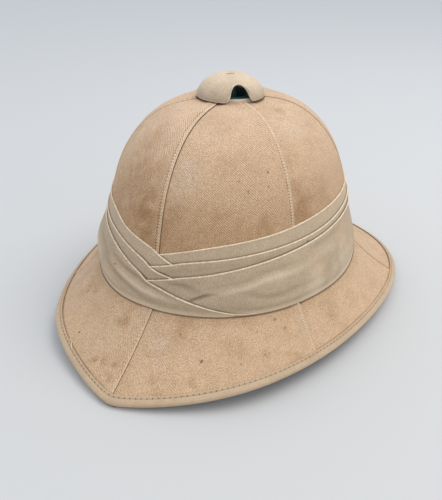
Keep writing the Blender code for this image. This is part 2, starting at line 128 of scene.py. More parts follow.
def softNoise(points, size, seed=0.0):
    # smooth noise, from about -1 to 1, at each point of an array, with lumps about this size
    flat = points.reshape(-1, 3) / size + seed
    values = [noise.noise(Vector(point)) for point in flat]
    return np.array(values).reshape(points.shape[:-1])


# the helmet's outer face, by angle round it and by distance up it
crownShape = {
    "front": 112.3 * mm,     # from the middle to the front of the crown's base
    "back": 107.6 * mm,
    "side": 96.0 * mm,
    "baseZ": 40.8 * mm,
    "rise": 118.2 * mm,
    "lean": -1.5 * mm,
    "hole": 15 * mm,         # radius of the vent hole
    # elevation (degrees), size against an ellipsoid
    "swell": [(0, 1.0), (20, 1.0025), (40, 1.068), (60, 1.082), (75, 1.0345), (90, 1.0)],
    "flare": 6,              # the crown flares out to the brim below this elevation
    "seams": (0, 54, 117, 180, 243, 306, 360),   # degrees round from the peak
}
brimShape = {
    # angle from the peak, radius, height of the underside (mm)
    "edge": [
        (0, 174.0, 0.0), (15, 162.4, 4.4), (30, 153.0, 9.8), (45, 141.0, 10.6), (60, 132.0, 9.8),
        (80, 128.0, 9.2), (100, 133.6, 8.2), (120, 146.4, 5.4), (140, 159.0, 1.8), (160, 166.0, 0.0),
        (172, 172.4, 0.0), (180, 174.2, 0.0),
    ],
    "start": 5.2 * mm,       # the brim starts this far out from the crown's base
    "sag": 2.5 * mm,
    "slope": 24,             # degrees
    "laminate": 4.2 * mm,    # cloth, cork and tape under the face at the edge
    "nose": 1.6 * mm,        # the tape stands out past the cloth's edge
    "tipRound": 1.5,         # degrees over which the pointed tip is rounded
}
crownSwell = curveThrough(crownShape["swell"])
edgeRadius = curveThrough(brimShape["edge"], 1)
edgeUnderside = curveThrough(brimShape["edge"], 2)


def crownRadius(angle):
    c, s = np.cos(np.radians(angle)), np.sin(np.radians(angle))
    front, back = crownShape["front"], crownShape["back"]
    length = (front + back) / 2 + (front - back) / 2 * c
    return 1 / np.hypot(c / length, s / crownShape["side"])


def crownProfile(angle, elevation):
    swell = crownSwell(elevation)
    rise = swell * np.sin(np.radians(elevation))
    radius = crownRadius(angle) * swell * np.cos(np.radians(elevation))
    return radius, crownShape["baseZ"] + crownShape["rise"] * rise, crownShape["lean"] * rise


def findHole(angle):
    # elevation at which the crown has drawn in to the vent hole's radius, found by halving
    low, high = np.full(angle.shape, 60.0), np.full(angle.shape, 90.0)
    for _ in range(30):
        middle = (low + high) / 2
        outside = crownProfile(angle, middle)[0] > crownShape["hole"]
        low, high = np.where(outside, middle, low), np.where(outside, high, middle)
    return low


allAngles = np.arange(-30, 421, 1.0)
holeElevations = findHole(allAngles)


def brimEdge(angle):
    side = np.hypot((angle + 180) % 360 - 180, brimShape["tipRound"])
    lift = brimShape["laminate"] * math.cos(math.radians(brimShape["slope"]))
    return edgeRadius(side) * mm - brimShape["nose"], edgeUnderside(side) * mm + lift


def skin(angle, along):
    # along is 0 at the brim's edge, 1 at its start, 2 above the flare, 3 at the vent hole
    angle, along = np.broadcast_arrays(np.asarray(angle, float), np.asarray(along, float))
    edgeR, edgeZ = brimEdge(angle)
    startR, startZ = crownRadius(angle) + brimShape["start"], crownShape["baseZ"]
    t = np.clip(along, 0, 1)
    brimR = edgeR + (startR - edgeR) * t
    brimZ = edgeZ + (startZ - edgeZ) * t - 4 * brimShape["sag"] * t * (1 - t)
    flare = crownShape["flare"]
    topR, topZ, topLean = crownProfile(angle, flare)
    nextR, nextZ, _ = crownProfile(angle, flare + 1)
    brimSlope = (startZ - edgeZ + 4 * brimShape["sag"]) / (startR - edgeR)
    crownSlope = (nextR - topR) / (nextZ - topZ)
    levelZ = startZ + brimSlope * (topR - startR - crownSlope * topZ)
    cornerZ = levelZ / (1 - brimSlope * crownSlope)
    cornerR = topR + crownSlope * (cornerZ - topZ)
    t = np.clip(along - 1, 0, 1)
    flareR = (1 - t) ** 2 * startR + 2 * t * (1 - t) * cornerR + t * t * topR
    flareZ = (1 - t) ** 2 * startZ + 2 * t * (1 - t) * cornerZ + t * t * topZ
    hole = np.interp(angle, allAngles, holeElevations)
    elevation = flare + (hole - flare) * np.clip(along - 2, 0, 1)
    crownR, crownZ, crownLean = crownProfile(angle, elevation)
    radius = np.where(along <= 1, brimR, np.where(along < 2, flareR, crownR))
    height = np.where(along <= 1, brimZ, np.where(along < 2, flareZ, crownZ))
    lean = np.where(along <= 1, 0, np.where(along < 2, t * t * topLean, crownLean))
    turn = np.radians(angle)
    return np.stack([radius * np.cos(turn) + lean, radius * np.sin(turn), height], -1)


def skinNormal(angle, along):
    step = 0.02
    low, high = np.maximum(np.asarray(along) - step, 0), np.minimum(np.asarray(along) + step, 3)
    across = skin(np.asarray(angle) + 0.5, along) - skin(np.asarray(angle) - 0.5, along)
    return unit(np.cross(across, skin(angle, high) - skin(angle, low)))


def brimLength(angle):
    return np.linalg.norm(skin(angle, 1.0) - skin(angle, 0.0), axis=-1)


def stepsUp(brim, flare, crown):
    # places from the brim's edge to the vent hole, in this many steps on each stretch
    stretches = [np.linspace(0, 1, brim + 1), np.linspace(1, 2, flare + 1)[1:]]
    return np.concatenate(stretches + [np.linspace(2, 3, crown + 1)[1:]])


def lengths(points):
    # distance run from the start of a line of points, or up each column of a grid
    steps = np.linalg.norm(np.diff(points, axis=0), axis=-1)
    return np.concatenate([0 * steps[:1], np.cumsum(steps, axis=0)])


def meshFrom(bm, name):
    mesh = bpy.data.meshes.new(name)
    bm.to_mesh(mesh)
    bm.free()
    return mesh


def keepValues(mesh, title, numbers):
    layer = mesh.attributes.new(title, "FLOAT", "POINT")
    layer.data.foreach_set("value", numbers.astype(np.float32).ravel())


def layGrid(name, points, maps, closedRound=False):
    # a flat grid laid on the helmet: one vertex for each row and column of points, with its flat
    # places as UV maps in metres; faces point out where columns run left and rows run up
    rows, columns = points.shape[:2]
    bm = bmesh.new()
    bmesh.ops.create_grid(bm, x_segments=columns - 1, y_segments=rows - 1, size=1)
    mesh = meshFrom(bm, name)
    mesh.vertices.foreach_set("co", points.astype(np.float32).ravel())
    corners = np.empty(len(mesh.loops), np.int32)
    mesh.loops.foreach_get("vertex_index", corners)
    for title, flat in maps.items():
        layer = mesh.uv_layers.new(name=title)
        layer.data.foreach_set("uv", flat.reshape(-1, 2)[corners].astype(np.float32).ravel())
    if closedRound:
        bm = bmesh.new()
        bm.from_mesh(mesh)
        bmesh.ops.remove_doubles(bm, verts=bm.verts, dist=0.00001)
        bm.to_mesh(mesh)
        bm.free()
    mesh.shade_smooth()
    return mesh


def addPiece(name, mesh, material, slot, *nodes):
    piece = bpy.data.objects.new(name, mesh)
    bpy.context.scene.collection.objects.link(piece)
    mesh.materials.append(material)
    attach(piece, "root")
    if nodes:
        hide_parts(*nodes)
    return piece


def addWall(piece, thickness):
    wall = piece.modifiers.new("wall", "SOLIDIFY")
    wall.thickness = thickness
    wall.offset = -1
    wall.use_even_offset = False
    return wall


# colours of the cloths, the threads and what lies under them, as linear numbers
linearTan = {
    "drill": (0.600, 0.395, 0.232),
    "drillFadedAndLit": (0.740, 0.520, 0.345),
    "drillStain": (0.325, 0.168, 0.064),
    "drillGrey": (0.660, 0.510, 0.390),
    "seamShade": (0.150, 0.078, 0.034),
    # dark soot for real dirt marks, also laid as painted shade in holes, creases and under edges
    "sootAndShade": (0.105, 0.052, 0.020),
    "pagri": (0.500, 0.372, 0.242),
    "pagriDarkAndShade": (0.250, 0.180, 0.110),
    # a light tone for worn folded edges, also laid as painted highlight on folds, ridges, the hem and lit
    # patches
    "foldEdgeWornAndLit": (0.880, 0.720, 0.510),
    "tape": (0.565, 0.408, 0.260),
    "cap": (0.575, 0.448, 0.312),
    "capEdge": (0.800, 0.680, 0.510),
    "thread": (0.980, 0.840, 0.620),
    "cork": (0.330, 0.215, 0.120),
    "green": (0.060, 0.130, 0.125),
}


def toned(name, factor):
    return tuple(factor * value for value in linearTan[name])


def feed(tree, socket, value):
    # links what comes out of a node, and sets a plain value
    if isinstance(value, bpy.types.NodeSocket):
        tree.links.new(value, socket)
    else:
        socket.default_value = value


def addNode(tree, kind, settings=None, **inputs):
    # a name like at_1 means the socket at that index
    node = tree.nodes.new(kind)
    for key, value in (settings or {}).items():
        setattr(node, key, value)
    for key, value in inputs.items():
        feed(tree, node.inputs[int(key.split("_")[1]) if "_" in key else key], value)
    return node


def useGroup(tree, group, **inputs):
    # an underscore in a name stands for a space
    node = addNode(tree, "ShaderNodeGroup", {"node_tree": group})
    for key, value in inputs.items():
        feed(tree, node.inputs[key.replace("_", " ")], value)
    return node.outputs


def calculate(tree, operation, *values):
    node = addNode(tree, "ShaderNodeMath", {"operation": operation})
    for socket, value in zip(node.inputs, values):
        feed(tree, socket, value)
    return node.outputs[0]


def product(tree, first, *others):
    for other in others:
        first = calculate(tree, "MULTIPLY", first, other)
    return first


def spread(tree, value, low, high, first=0.0, last=1.0, smooth=False):
    # the value's way from low to high, as a number from first to last
    settings = {"interpolation_type": "SMOOTHSTEP"} if smooth else {}
    node = addNode(tree, "ShaderNodeMapRange", settings,
                   at_0=value, at_1=low, at_2=high, at_3=first, at_4=last)
    return node.outputs[0]


def readNoise(tree, at, scale, detail=2.0, roughness=0.5, flat=False):
    settings = {"noise_dimensions": "2D"} if flat else {}
    node = addNode(tree, "ShaderNodeTexNoise", settings, Vector=at, Scale=scale, Detail=detail,
                   Roughness=roughness)
    return node.outputs["Fac"]


def mixColour(tree, factor, first, second, blend="MIX"):
    node = addNode(tree, "ShaderNodeMix", {"data_type": "RGBA", "blend_type": blend}, at_0=factor)
    for index, colour in ((6, first), (7, second)):
        feed(tree, node.inputs[index], (*colour, 1) if isinstance(colour, tuple) else colour)
    return node.outputs[2]


def multiplied(tree, colour, other):
    return mixColour(tree, 1.0, colour, other, "MULTIPLY")


def lay(tree, colour, tone, *masks):
    # a tone over the colour, as strongly as the masks say together
    return mixColour(tree, product(tree, *masks), colour, tone)


def layLine(tree, colour, tone, distance, line, smooth=True):
    # a line is where it starts to show, where it shows fully, and how strong it is there
    far, near, strength = line
    return lay(tree, colour, tone, spread(tree, distance, far, near, smooth=smooth), strength)


def newGroup(name, inputs, outputs):
    group = bpy.data.node_groups.new(name, "ShaderNodeTree")
    for title, kind, value in inputs:
        socket = group.interface.new_socket(name=title, in_out="INPUT", socket_type="NodeSocket" + kind)
        if value is not None:
            socket.default_value = value
    for title, kind in outputs:
        group.interface.new_socket(name=title, in_out="OUTPUT", socket_type="NodeSocket" + kind)
    given = group.nodes.new("NodeGroupInput").outputs
    return group, given, group.nodes.new("NodeGroupOutput").inputs


def makeWeave():
    # twill ribs and thread grain on the cloth's flat map; Shade is about 0.5 in the middle
    group, given, result = newGroup(
        "twillWeave",
        [("Flat", "Vector", None), ("Pitch", "Float", 0.0016), ("Slant", "Float", 0.7),
         ("Rib", "Float", 0.25)],
        [("Height", "Float"), ("Shade", "Float")])
    flat = given["Flat"]
    parts = addNode(group, "ShaderNodeSeparateXYZ", Vector=flat).outputs
    wobble = readNoise(group, flat, 130.0, flat=True)
    slanted = calculate(group, "MULTIPLY_ADD", parts["Y"], given["Slant"], parts["X"])
    across = calculate(group, "DIVIDE", slanted, given["Pitch"])
    phase = calculate(group, "MULTIPLY_ADD", wobble, 1.4, across)
    rib = calculate(group, "SINE", product(group, phase, 2 * math.pi))
    grain = readNoise(group, flat, 1050.0, 3.0, 0.75, flat=True)
    patch = spread(group, readNoise(group, flat, 45.0, flat=True), 0.32, 0.56, 0.2, 1.0)
    ribbed = product(group, rib, patch, given["Rib"])
    # thicker threads, a few millimetres of each showing, both ways of the cloth
    slubs = 0.0
    for stretch in ((1.0, 7.0, 1.0), (7.0, 1.0, 1.0)):
        stretched = addNode(group, "ShaderNodeMapping", Vector=flat, Scale=stretch).outputs[0]
        streak = readNoise(group, stretched, 230.0, 1.0, flat=True)
        slubs = calculate(group, "ADD", spread(group, streak, 0.3, 0.7, -0.06, 0.06), slubs)
    height = calculate(group, "MULTIPLY_ADD", ribbed, 1.4, product(group, grain, 1.3))
    grainShade = calculate(group, "ADD", spread(group, grain, 0.24, 0.76), slubs)
    feed(group, result["Height"], height)
    feed(group, result["Shade"], calculate(group, "ADD", ribbed, grainShade))
    return group


def makeAge():
    # uneven fading, blotches, mottling a few millimetres wide and a few specks
    group, given, result = newGroup(
        "clothAge",
        [("Place", "Vector", None), ("Patch Size", "Float", 0.05)],
        [("Fade", "Float"), ("Blotch", "Float"), ("Mottle", "Float"), ("Specks", "Float")])
    place = given["Place"]
    scale = calculate(group, "DIVIDE", 1.0, given["Patch Size"])
    fade = readNoise(group, place, scale, 3.0, 0.55)
    blotch = readNoise(group, place, product(group, scale, 3.3), 4.0, 0.6)
    mottle = readNoise(group, place, 210.0, 3.0, 0.6)
    cells = addNode(group, "ShaderNodeTexVoronoi", Vector=place, Scale=48.0).outputs
    chance = addNode(group, "ShaderNodeSeparateColor", Color=cells["Color"]).outputs
    specks = product(group, spread(group, cells["Distance"], 0.06, 0.025),
                     spread(group, chance[0], 0.62, 1.0))
    feed(group, result["Fade"], spread(group, fade, 0.36, 0.64))
    feed(group, result["Blotch"], spread(group, blotch, 0.5, 0.72))
    feed(group, result["Mottle"], spread(group, mottle, 0.28, 0.72))
    feed(group, result["Specks"], specks)
    return group


def makeSpot():
    # adds a soft-edged spot round one place to a mask
    group, given, result = newGroup(
        "stainSpot",
        [("Before", "Float", 0.0), ("Place", "Vector", None), ("Warp", "Float", 0.5),
         ("Centre", "Vector", None), ("Reach", "Float", 0.02), ("Depth", "Float", 0.5)],
        [("Mask", "Float")])
    away = addNode(group, "ShaderNodeVectorMath", {"operation": "DISTANCE"},
                   at_0=given["Place"], at_1=given["Centre"]).outputs["Value"]
    away = calculate(group, "DIVIDE", away, given["Reach"])
    rough = calculate(group, "SUBTRACT", given["Warp"], 0.5)
    rough = calculate(group, "MULTIPLY_ADD", rough, 2.2, away)
    mask = product(group, spread(group, rough, 1.0, 0.1, smooth=True), given["Depth"])
    feed(group, result["Mask"], calculate(group, "MAXIMUM", mask, given["Before"]))
    return group


def makeStitchHoles():
    # needle holes along a sewn line: dots of painted shade a pitch apart, at one distance from the cloth's
    # edge
    group, given, result = newGroup(
        "stitchHoles",
        [("Along", "Vector", None), ("Inset", "Float", 0.0025), ("Pitch", "Float", 0.002),
         ("Hole", "Float", 0.0005)],
        [("Holes", "Float")])
    parts = addNode(group, "ShaderNodeSeparateXYZ", Vector=given["Along"]).outputs
    aside = calculate(group, "SUBTRACT", parts["X"], given["Inset"])
    turn = calculate(group, "FRACT", calculate(group, "DIVIDE", parts["Y"], given["Pitch"]))
    ahead = product(group, calculate(group, "SUBTRACT", turn, 0.5), given["Pitch"])
    squares = calculate(group, "MULTIPLY_ADD", aside, aside, product(group, ahead, ahead))
    away = calculate(group, "DIVIDE", calculate(group, "SQRT", squares), given["Hole"])
    feed(group, result["Holes"], spread(group, away, 1.0, 0.35, smooth=True))
    return group


weaveGroup = makeWeave()
ageGroup = makeAge()
spotGroup = makeSpot()
holesGroup = makeStitchHoles()


def startMaterial(name, roughness, sheen=0.0, gloss=0.25):
    material = bpy.data.materials.new(name)
    material.use_nodes = True
    tree = material.node_tree
    shader = tree.nodes["Principled BSDF"]
    shader.inputs["Roughness"].default_value = roughness
    shader.inputs["Specular IOR Level"].default_value = gloss
    if sheen:
        shader.inputs["Sheen Weight"].default_value = sheen
        shader.inputs["Sheen Roughness"].default_value = 0.6
    return material, tree, shader


def finishMaterial(tree, shader, colour, height, relief):
    bumps = addNode(tree, "ShaderNodeBump", Height=height, Distance=relief, Strength=1.0)
    feed(tree, shader.inputs["Normal"], bumps.outputs["Normal"])
    feed(tree, shader.inputs["Base Color"], colour)


def readMap(tree, title):
    return addNode(tree, "ShaderNodeUVMap", {"uv_map": title}).outputs["UV"]


def splitMap(tree, title):
    return addNode(tree, "ShaderNodeSeparateXYZ", Vector=readMap(tree, title)).outputs


def readPlace(tree):
    return addNode(tree, "ShaderNodeTexCoord").outputs["Object"]


def readValue(tree, title):
    return addNode(tree, "ShaderNodeAttribute", {"attribute_name": title}).outputs["Fac"]


def startCloth(name, finish):
    # woven cloth of one tone, faded in patches; with what its marks are laid on by
    material, tree, shader = startMaterial(name, finish["roughness"], finish["sheen"])
    place = readPlace(tree)
    height = addNode(tree, "ShaderNodeSeparateXYZ", Vector=place).outputs["Z"]
    rib = finish["rib"]
    if isinstance(rib, tuple):
        rib = spread(tree, height, *rib)
    weave = useGroup(tree, weaveGroup, Flat=readMap(tree, "cloth"), Pitch=finish["pitch"],
                     Slant=finish["slant"], Rib=rib)
    age = useGroup(tree, ageGroup, Place=place, Patch_Size=finish["patches"])
    tone = finish["tone"]
    colour = lay(tree, linearTan[tone], toned(tone, finish["dark"]), age["Fade"], finish["fade"])
    return material, tree, shader, place, height, weave, age, colour


def showThreads(tree, colour, weave, age, finish):
    # darker between the threads and in the mottles
    threads = spread(tree, weave["Shade"], 0, 1, *finish["threads"])
    mottle = spread(tree, age["Mottle"], 0, 1, *finish["mottle"])
    return multiplied(tree, colour, product(tree, threads, mottle))


def placesOf(marks, stand=0.0):
    # the marks' places in space, on the helmet's face or this far off it
    places = []
    for angle, height, reach, depth in marks:
        along = height
        if height >= 1:
            alongs = np.linspace(1, 3, 300)
            along = np.interp(height * mm, skin(angle, alongs)[:, 2], alongs)
        point = skin(angle, along) + skinNormal(angle, along) * stand
        places.append((tuple(float(v) for v in point), reach, depth))
    return places


def gatherSpots(tree, place, warp, places):
    mask = 0.0
    for centre, reach, depth in places:
        mask = useGroup(tree, spotGroup, Before=mask, Place=place, Warp=warp, Centre=centre,
                        Reach=reach * mm, Depth=depth)["Mask"]
    return mask


drillFinish = {
    "tone": "drill",
    "roughness": 0.92,
    "sheen": 0.12,
    "pitch": 1.6 * mm,       # of the twill's ribs
    "slant": 1.0,
    "rib": (60 * mm, 90 * mm, 0.18, 0.34),       # fainter on the brim than on the crown
    "patches": 60 * mm,      # how wide the faded patches are
    "dark": 0.84,
    "fade": 0.4,
    "threads": (0.58, 1.42),
    "mottle": (1.06, 0.94),
    "relief": 0.14 * mm,
    "crown": (66 * mm, 72 * mm),                 # the heights where the brim's look turns to the crown's
    "brimTint": (1.01, 1.02, 1.04),
    "crownTint": (0.955, 0.940, 0.925),
    "fadedAndLitTop": (112 * mm, 160 * mm),            # towards the top: partly sun-faded, partly painted light
    "darkerDown": (122 * mm, 86 * mm, 0.24),        # darker down towards the band
    "blotch": 0.24,
    # lines: where each starts to show, where it shows fully, and how strong it is
    "foldEdgeWornAndLit": (1.3 * mm, 0.5 * mm, 0.28),
    "crease": (1.0, 0.25, 0.85),
    "tapeEdge": 5.8 * mm,
    "tapeShadeLine": (0.8 * mm, 0.2 * mm),
    "hemShadow": (1.0 * mm, 0.2 * mm, 0.75),
    "hemShadeWide": (6 * mm, 0.5 * mm, 0.15),
    "holes": {"Inset": 2.7 * mm, "Pitch": 2.05 * mm, "Hole": 0.75 * mm},
    "holesFrom": (70 * mm, 76 * mm, 0.25, 0.7),  # weaker on the brim
}
# where it is marked: angle, height on the crown (mm) or share of the brim, reach (mm), depth
drillMarks = {
    "faded": [
        (8, 128, 17, 0.38), (5, 134, 10, 0.25), (6.5, 0.675, 9, 0.24), (7.5, 0.52, 8, 0.18),
        (70, 150, 20, 0.25), (230, 135, 24, 0.30),
    ],
    "stains": [
        (-7, 115, 15, 0.60), (-8, 101, 18, 0.92), (-7, 90, 17, 0.90), (-14, 98, 24, 0.60),
        (-8, 129, 12, 0.45), (-4, 84, 13, 0.75), (-26, 92, 36, 0.58), (-20, 119, 28, 0.55),
        (-23, 142, 20, 0.32), (9, 90, 20, 0.42), (5, 105, 11, 0.45), (60, 105, 15, 0.75),
        (62, 97, 17, 0.65), (58, 117, 12, 0.45), (56, 134, 11, 0.28), (72, 102, 20, 0.30),
        (3, 96, 16, 0.50), (30, 88, 24, 0.42), (40, 98, 13, 0.45), (20, 100, 24, 0.28),
        (79, 156, 7, 0.40), (-8, 0.80, 10, 0.65), (-7, 0.31, 6, 0.45), (-3, 0.20, 7, 0.55),
        (-9.5, 0.24, 4.5, 0.60), (-3.5, 0.35, 4, 0.45), (7.5, 0.28, 6, 0.50), (17.5, 0.26, 6, 0.50),
        (11.5, 0.84, 7, 0.28), (14, 0.96, 9, 0.30), (29, 0.62, 12, 0.28), (37, 0.42, 6, 0.45),
        (46, 0.16, 8, 0.35), (34, 0.93, 8, 0.20), (66, 0.70, 12, 0.24), (10, 0.12, 8, 0.25),
        (82, 0.47, 10, 0.25), (-33, 0.80, 16, 0.35), (4, 0.56, 5, 0.25), (130, 100, 22, 0.40),
        (165, 92, 26, 0.35), (212, 118, 18, 0.35), (250, 96, 24, 0.40), (140, 0.5, 13, 0.35),
        (200, 0.4, 16, 0.35), (255, 0.6, 12, 0.35),
    ],
    "dots": [
        (43.5, 130.3, 1.5, 0.75), (33.5, 121.1, 1.35, 0.70), (29.5, 127.1, 1.2, 0.60),
        (43.0, 122.2, 1.1, 0.50), (10, 128.6, 1.3, 0.40), (-17.5, 131.8, 1.1, 0.40),
        (-20.5, 0.285, 1.6, 0.85), (-32, 0.667, 1.8, 0.65), (-33.5, 0.72, 1.3, 0.45),
        (19, 0.500, 1.6, 0.85), (42.5, 0.89, 1.6, 0.70), (45.5, 0.73, 1.8, 0.75),
        (-15, 0.850, 1.4, 0.45), (11.5, 0.825, 1.2, 0.45), (30, 0.383, 1.4, 0.40),
        (35.5, 0.783, 1.1, 0.45), (-7.5, 0.315, 1.4, 0.55), (-3.5, 0.345, 1.3, 0.50),
        (-9.5, 0.235, 1.3, 0.50), (23.5, 0.95, 1.2, 0.40), (37, 0.43, 1.2, 0.45),
        (4.5, 0.55, 1.1, 0.40), (150, 0.55, 1.5, 0.60), (205, 112, 1.4, 0.60), (262, 0.45, 1.5, 0.60),
    ],
}


def drillCloth(finish, marks):
    material, tree, shader, place, height, weave, age, colour = startCloth("drillCloth", finish)
    stain, sootAndShade = linearTan["drillStain"], linearTan["sootAndShade"]
    # faded and painted light towards the top, darker and browner down towards the band
    colour = lay(tree, colour, linearTan["drillFadedAndLit"], spread(tree, height, *finish["fadedAndLitTop"]),
                 spread(tree, age["Fade"], 0, 1, 0.45, 0.85))
    crown = spread(tree, height, *finish["crown"])
    colour = multiplied(tree, colour, mixColour(tree, crown, finish["brimTint"], finish["crownTint"]))
    top, band, brown = finish["darkerDown"]
    colour = lay(tree, colour, stain, spread(tree, height, top, band), crown, brown)
    warp = readNoise(tree, place, 75.0, 4.0, 0.65)
    stained = gatherSpots(tree, place, warp, placesOf(marks["stains"]))
    colour = lay(tree, colour, stain, stained, spread(tree, age["Mottle"], 0, 1, 0.6, 1.0))
    faded = gatherSpots(tree, place, warp, placesOf(marks["faded"]))
    colour = lay(tree, colour, linearTan["drillGrey"], faded)
    colour = lay(tree, colour, stain, age["Blotch"], finish["blotch"])
    colour = showThreads(tree, colour, weave, age, finish)
    dots = gatherSpots(tree, place, readNoise(tree, place, 700.0), placesOf(marks["dots"]))
    dots = calculate(tree, "MAXIMUM", dots, product(tree, age["Specks"], 0.35))
    colour = lay(tree, colour, toned("sootAndShade", 1.5), dots)
    # the folded edge is worn light with a painted highlight; painted shade darkens the crease beside it, and
    # painted shade with some dirt the line along the tape's edge
    edge, tuck = splitMap(tree, "seam"), splitMap(tree, "tuck")
    colour = layLine(tree, colour, linearTan["foldEdgeWornAndLit"], edge["X"], finish["foldEdgeWornAndLit"])
    colour = layLine(tree, colour, linearTan["seamShade"], tuck["X"], finish["crease"])
    besideTape = calculate(tree, "ABSOLUTE", calculate(tree, "SUBTRACT", tuck["Y"], finish["tapeEdge"]))
    colour = lay(tree, colour, sootAndShade, spread(tree, besideTape, *finish["tapeShadeLine"], smooth=True),
                 spread(tree, age["Fade"], 0, 1, 0.08, 0.42))
    # painted shadow under the puggaree's hem and the cap's rim
    fromHem = readValue(tree, "fromHem")
    colour = layLine(tree, colour, sootAndShade, fromHem, finish["hemShadow"])
    colour = layLine(tree, colour, stain, fromHem, finish["hemShadeWide"], smooth=False)
    # painted shade in the needle holes along the seams
    holes = useGroup(tree, holesGroup, Along=readMap(tree, "seam"), **finish["holes"])["Holes"]
    colour = lay(tree, colour, sootAndShade, holes, spread(tree, height, *finish["holesFrom"]),
                 spread(tree, age["Blotch"], 0, 0.6, 0.6, 1.0))
    finishMaterial(tree, shader, colour, weave["Height"], finish["relief"])
    return material


pagriFinish = {
    "tone": "pagri",
    "roughness": 0.9,
    "sheen": 0.1,
    "pitch": 1.1 * mm,
    "slant": 0.2,
    "rib": 0.16,
    "patches": 50 * mm,
    "dark": 0.85,
    "fade": 0.45,
    "threads": (0.72, 1.28),
    "mottle": (1.05, 0.95),
    "relief": 0.1 * mm,
    "blotch": 0.16,
    "upward": (72 * mm, 84 * mm, 0.96, 1.06),    # lighter towards the top
    "valleyShade": (0.1, 1.3, 0.68),                 # painted shade and highlight, by how deep the creases are (mm)
    "ridgeHighlight": (-0.1, -0.9, 0.34),
    "shadeUnderFold": (1.3 * mm, 0.3 * mm, 0.48),
    "hem": (5.5 * mm, 1.5 * mm, 0.38),
    "hemShadow": (0.55 * mm, 0.2 * mm, 0.8),
    "foldEdgeWornAndLit": (1.4 * mm, 0.55 * mm),
}
# angle, height (mm), reach (mm), depth
pagriMarks = {
    "stand": 5.5 * mm,       # the wrap's face stands about this far off the crown's
    "tints": [(88, 70, 22, 0.55), (97, 60, 20, 0.32), (74, 54, 14, 0.30), (63, 61, 16, 0.36),
              (-19, 58, 15, 0.30), (200, 64, 26, 0.40)],
    "lights": [(60, 46.5, 19, 0.30), (74, 47, 14, 0.16), (88, 51, 22, 0.17), (98, 50, 18, 0.08),
               (-12, 50, 18, 0.04), (44, 64, 11, 0.16)],
    "dots": [(26.5, 67.0, 2.0, 0.75), (-19.0, 60.8, 3.0, 0.90), (81.5, 67.5, 1.7, 0.6),
             (210, 66, 2.4, 0.6)],
    "foldDots": [(60.3, 81.4, 1.9, 0.85)],
}


def pagriCloth(finish, marks):
    material, tree, shader, place, height, weave, age, colour = startCloth("pagriCloth", finish)
    light, dark, sootAndShade = linearTan["foldEdgeWornAndLit"], linearTan["pagriDarkAndShade"], linearTan["sootAndShade"]
    colour = lay(tree, colour, dark, age["Blotch"], finish["blotch"])
    colour = multiplied(tree, colour, spread(tree, height, *finish["upward"]))
    warp = readNoise(tree, place, 60.0, 4.0, 0.6)
    tinted = gatherSpots(tree, place, warp, placesOf(marks["tints"], marks["stand"]))
    colour = lay(tree, colour, toned("drill", 0.9), tinted)
    colour = showThreads(tree, colour, weave, age, finish)
    # painted shade in the creases' valleys and painted highlight on their ridges
    sunk = readValue(tree, "crease")
    colour = layLine(tree, colour, dark, sunk, finish["valleyShade"], smooth=False)
    colour = layLine(tree, colour, light, sunk, finish["ridgeHighlight"], smooth=False)
    # painted light in patches on the wrap
    lit = gatherSpots(tree, place, warp, placesOf(marks["lights"], marks["stand"]))
    colour = lay(tree, colour, light, lit)
    dots = placesOf(marks["dots"], 6.2 * mm) + placesOf(marks["foldDots"], 2.2 * mm)
    dots = gatherSpots(tree, place, readNoise(tree, place, 700.0), dots)
    colour = lay(tree, colour, toned("sootAndShade", 1.5), dots)
    # painted shade on the cloth where it runs in under a fold, a painted highlight on the hem over a painted
    # shadow line, and folded edges worn light with a painted highlight
    edge, under = splitMap(tree, "seam")["X"], splitMap(tree, "edges")
    colour = layLine(tree, colour, toned("pagriDarkAndShade", 0.6), under["Y"], finish["shadeUnderFold"])
    colour = layLine(tree, colour, light, under["X"], finish["hem"])
    colour = layLine(tree, colour, sootAndShade, under["X"], finish["hemShadow"])
    patchy = spread(tree, readNoise(tree, place, 520.0), 0.35, 0.65, 0.45, 1.0)
    colour = lay(tree, colour, light, spread(tree, edge, *finish["foldEdgeWornAndLit"], smooth=True), patchy)
    finishMaterial(tree, shader, colour, weave["Height"], finish["relief"])
    return material


tapeFinish = {
    "tone": "tape",
    "roughness": 0.88,
    "sheen": 0.1,
    "pitch": 1.1 * mm,
    "slant": 1.2,
    "rib": 0.14,
    "patches": 30 * mm,
    "dark": 0.84,
    "fade": 0.45,
    "threads": (0.84, 1.16),
    "mottle": (1.05, 0.95),
    "relief": 0.1 * mm,
    "blotch": 0.15,
    "holes": {"Inset": 2.05 * mm, "Pitch": 3.8 * mm, "Hole": 0.8 * mm},
    "worn": [(0.5, 0.0, 2.6, 0.8), (-2.2, 0.0, 3.0, 0.9), (-0.8, 0.0, 2.2, 0.9)],     # at the brim's tip
    "wornUnder": 3.2 * mm,   # this far below the cloth's face
}


def bindingTape(finish):
    material, tree, shader, place, _, weave, age, colour = startCloth("bindingTape", finish)
    colour = lay(tree, colour, linearTan["drillStain"], age["Blotch"], finish["blotch"])
    colour = showThreads(tree, colour, weave, age, finish)
    worn = placesOf(finish["worn"], -finish["wornUnder"])
    worn = gatherSpots(tree, place, readNoise(tree, place, 520.0, 3.0), worn)
    colour = lay(tree, colour, toned("sootAndShade", 1.4), worn)
    # painted shade in the needle holes along the tape
    holes = useGroup(tree, holesGroup, Along=readMap(tree, "seam"), **finish["holes"])["Holes"]
    colour = lay(tree, colour, linearTan["sootAndShade"], holes,
                 spread(tree, readNoise(tree, place, 180.0), 0.35, 0.6, 0.8, 1.0))
    finishMaterial(tree, shader, colour, weave["Height"], finish["relief"])
    return material


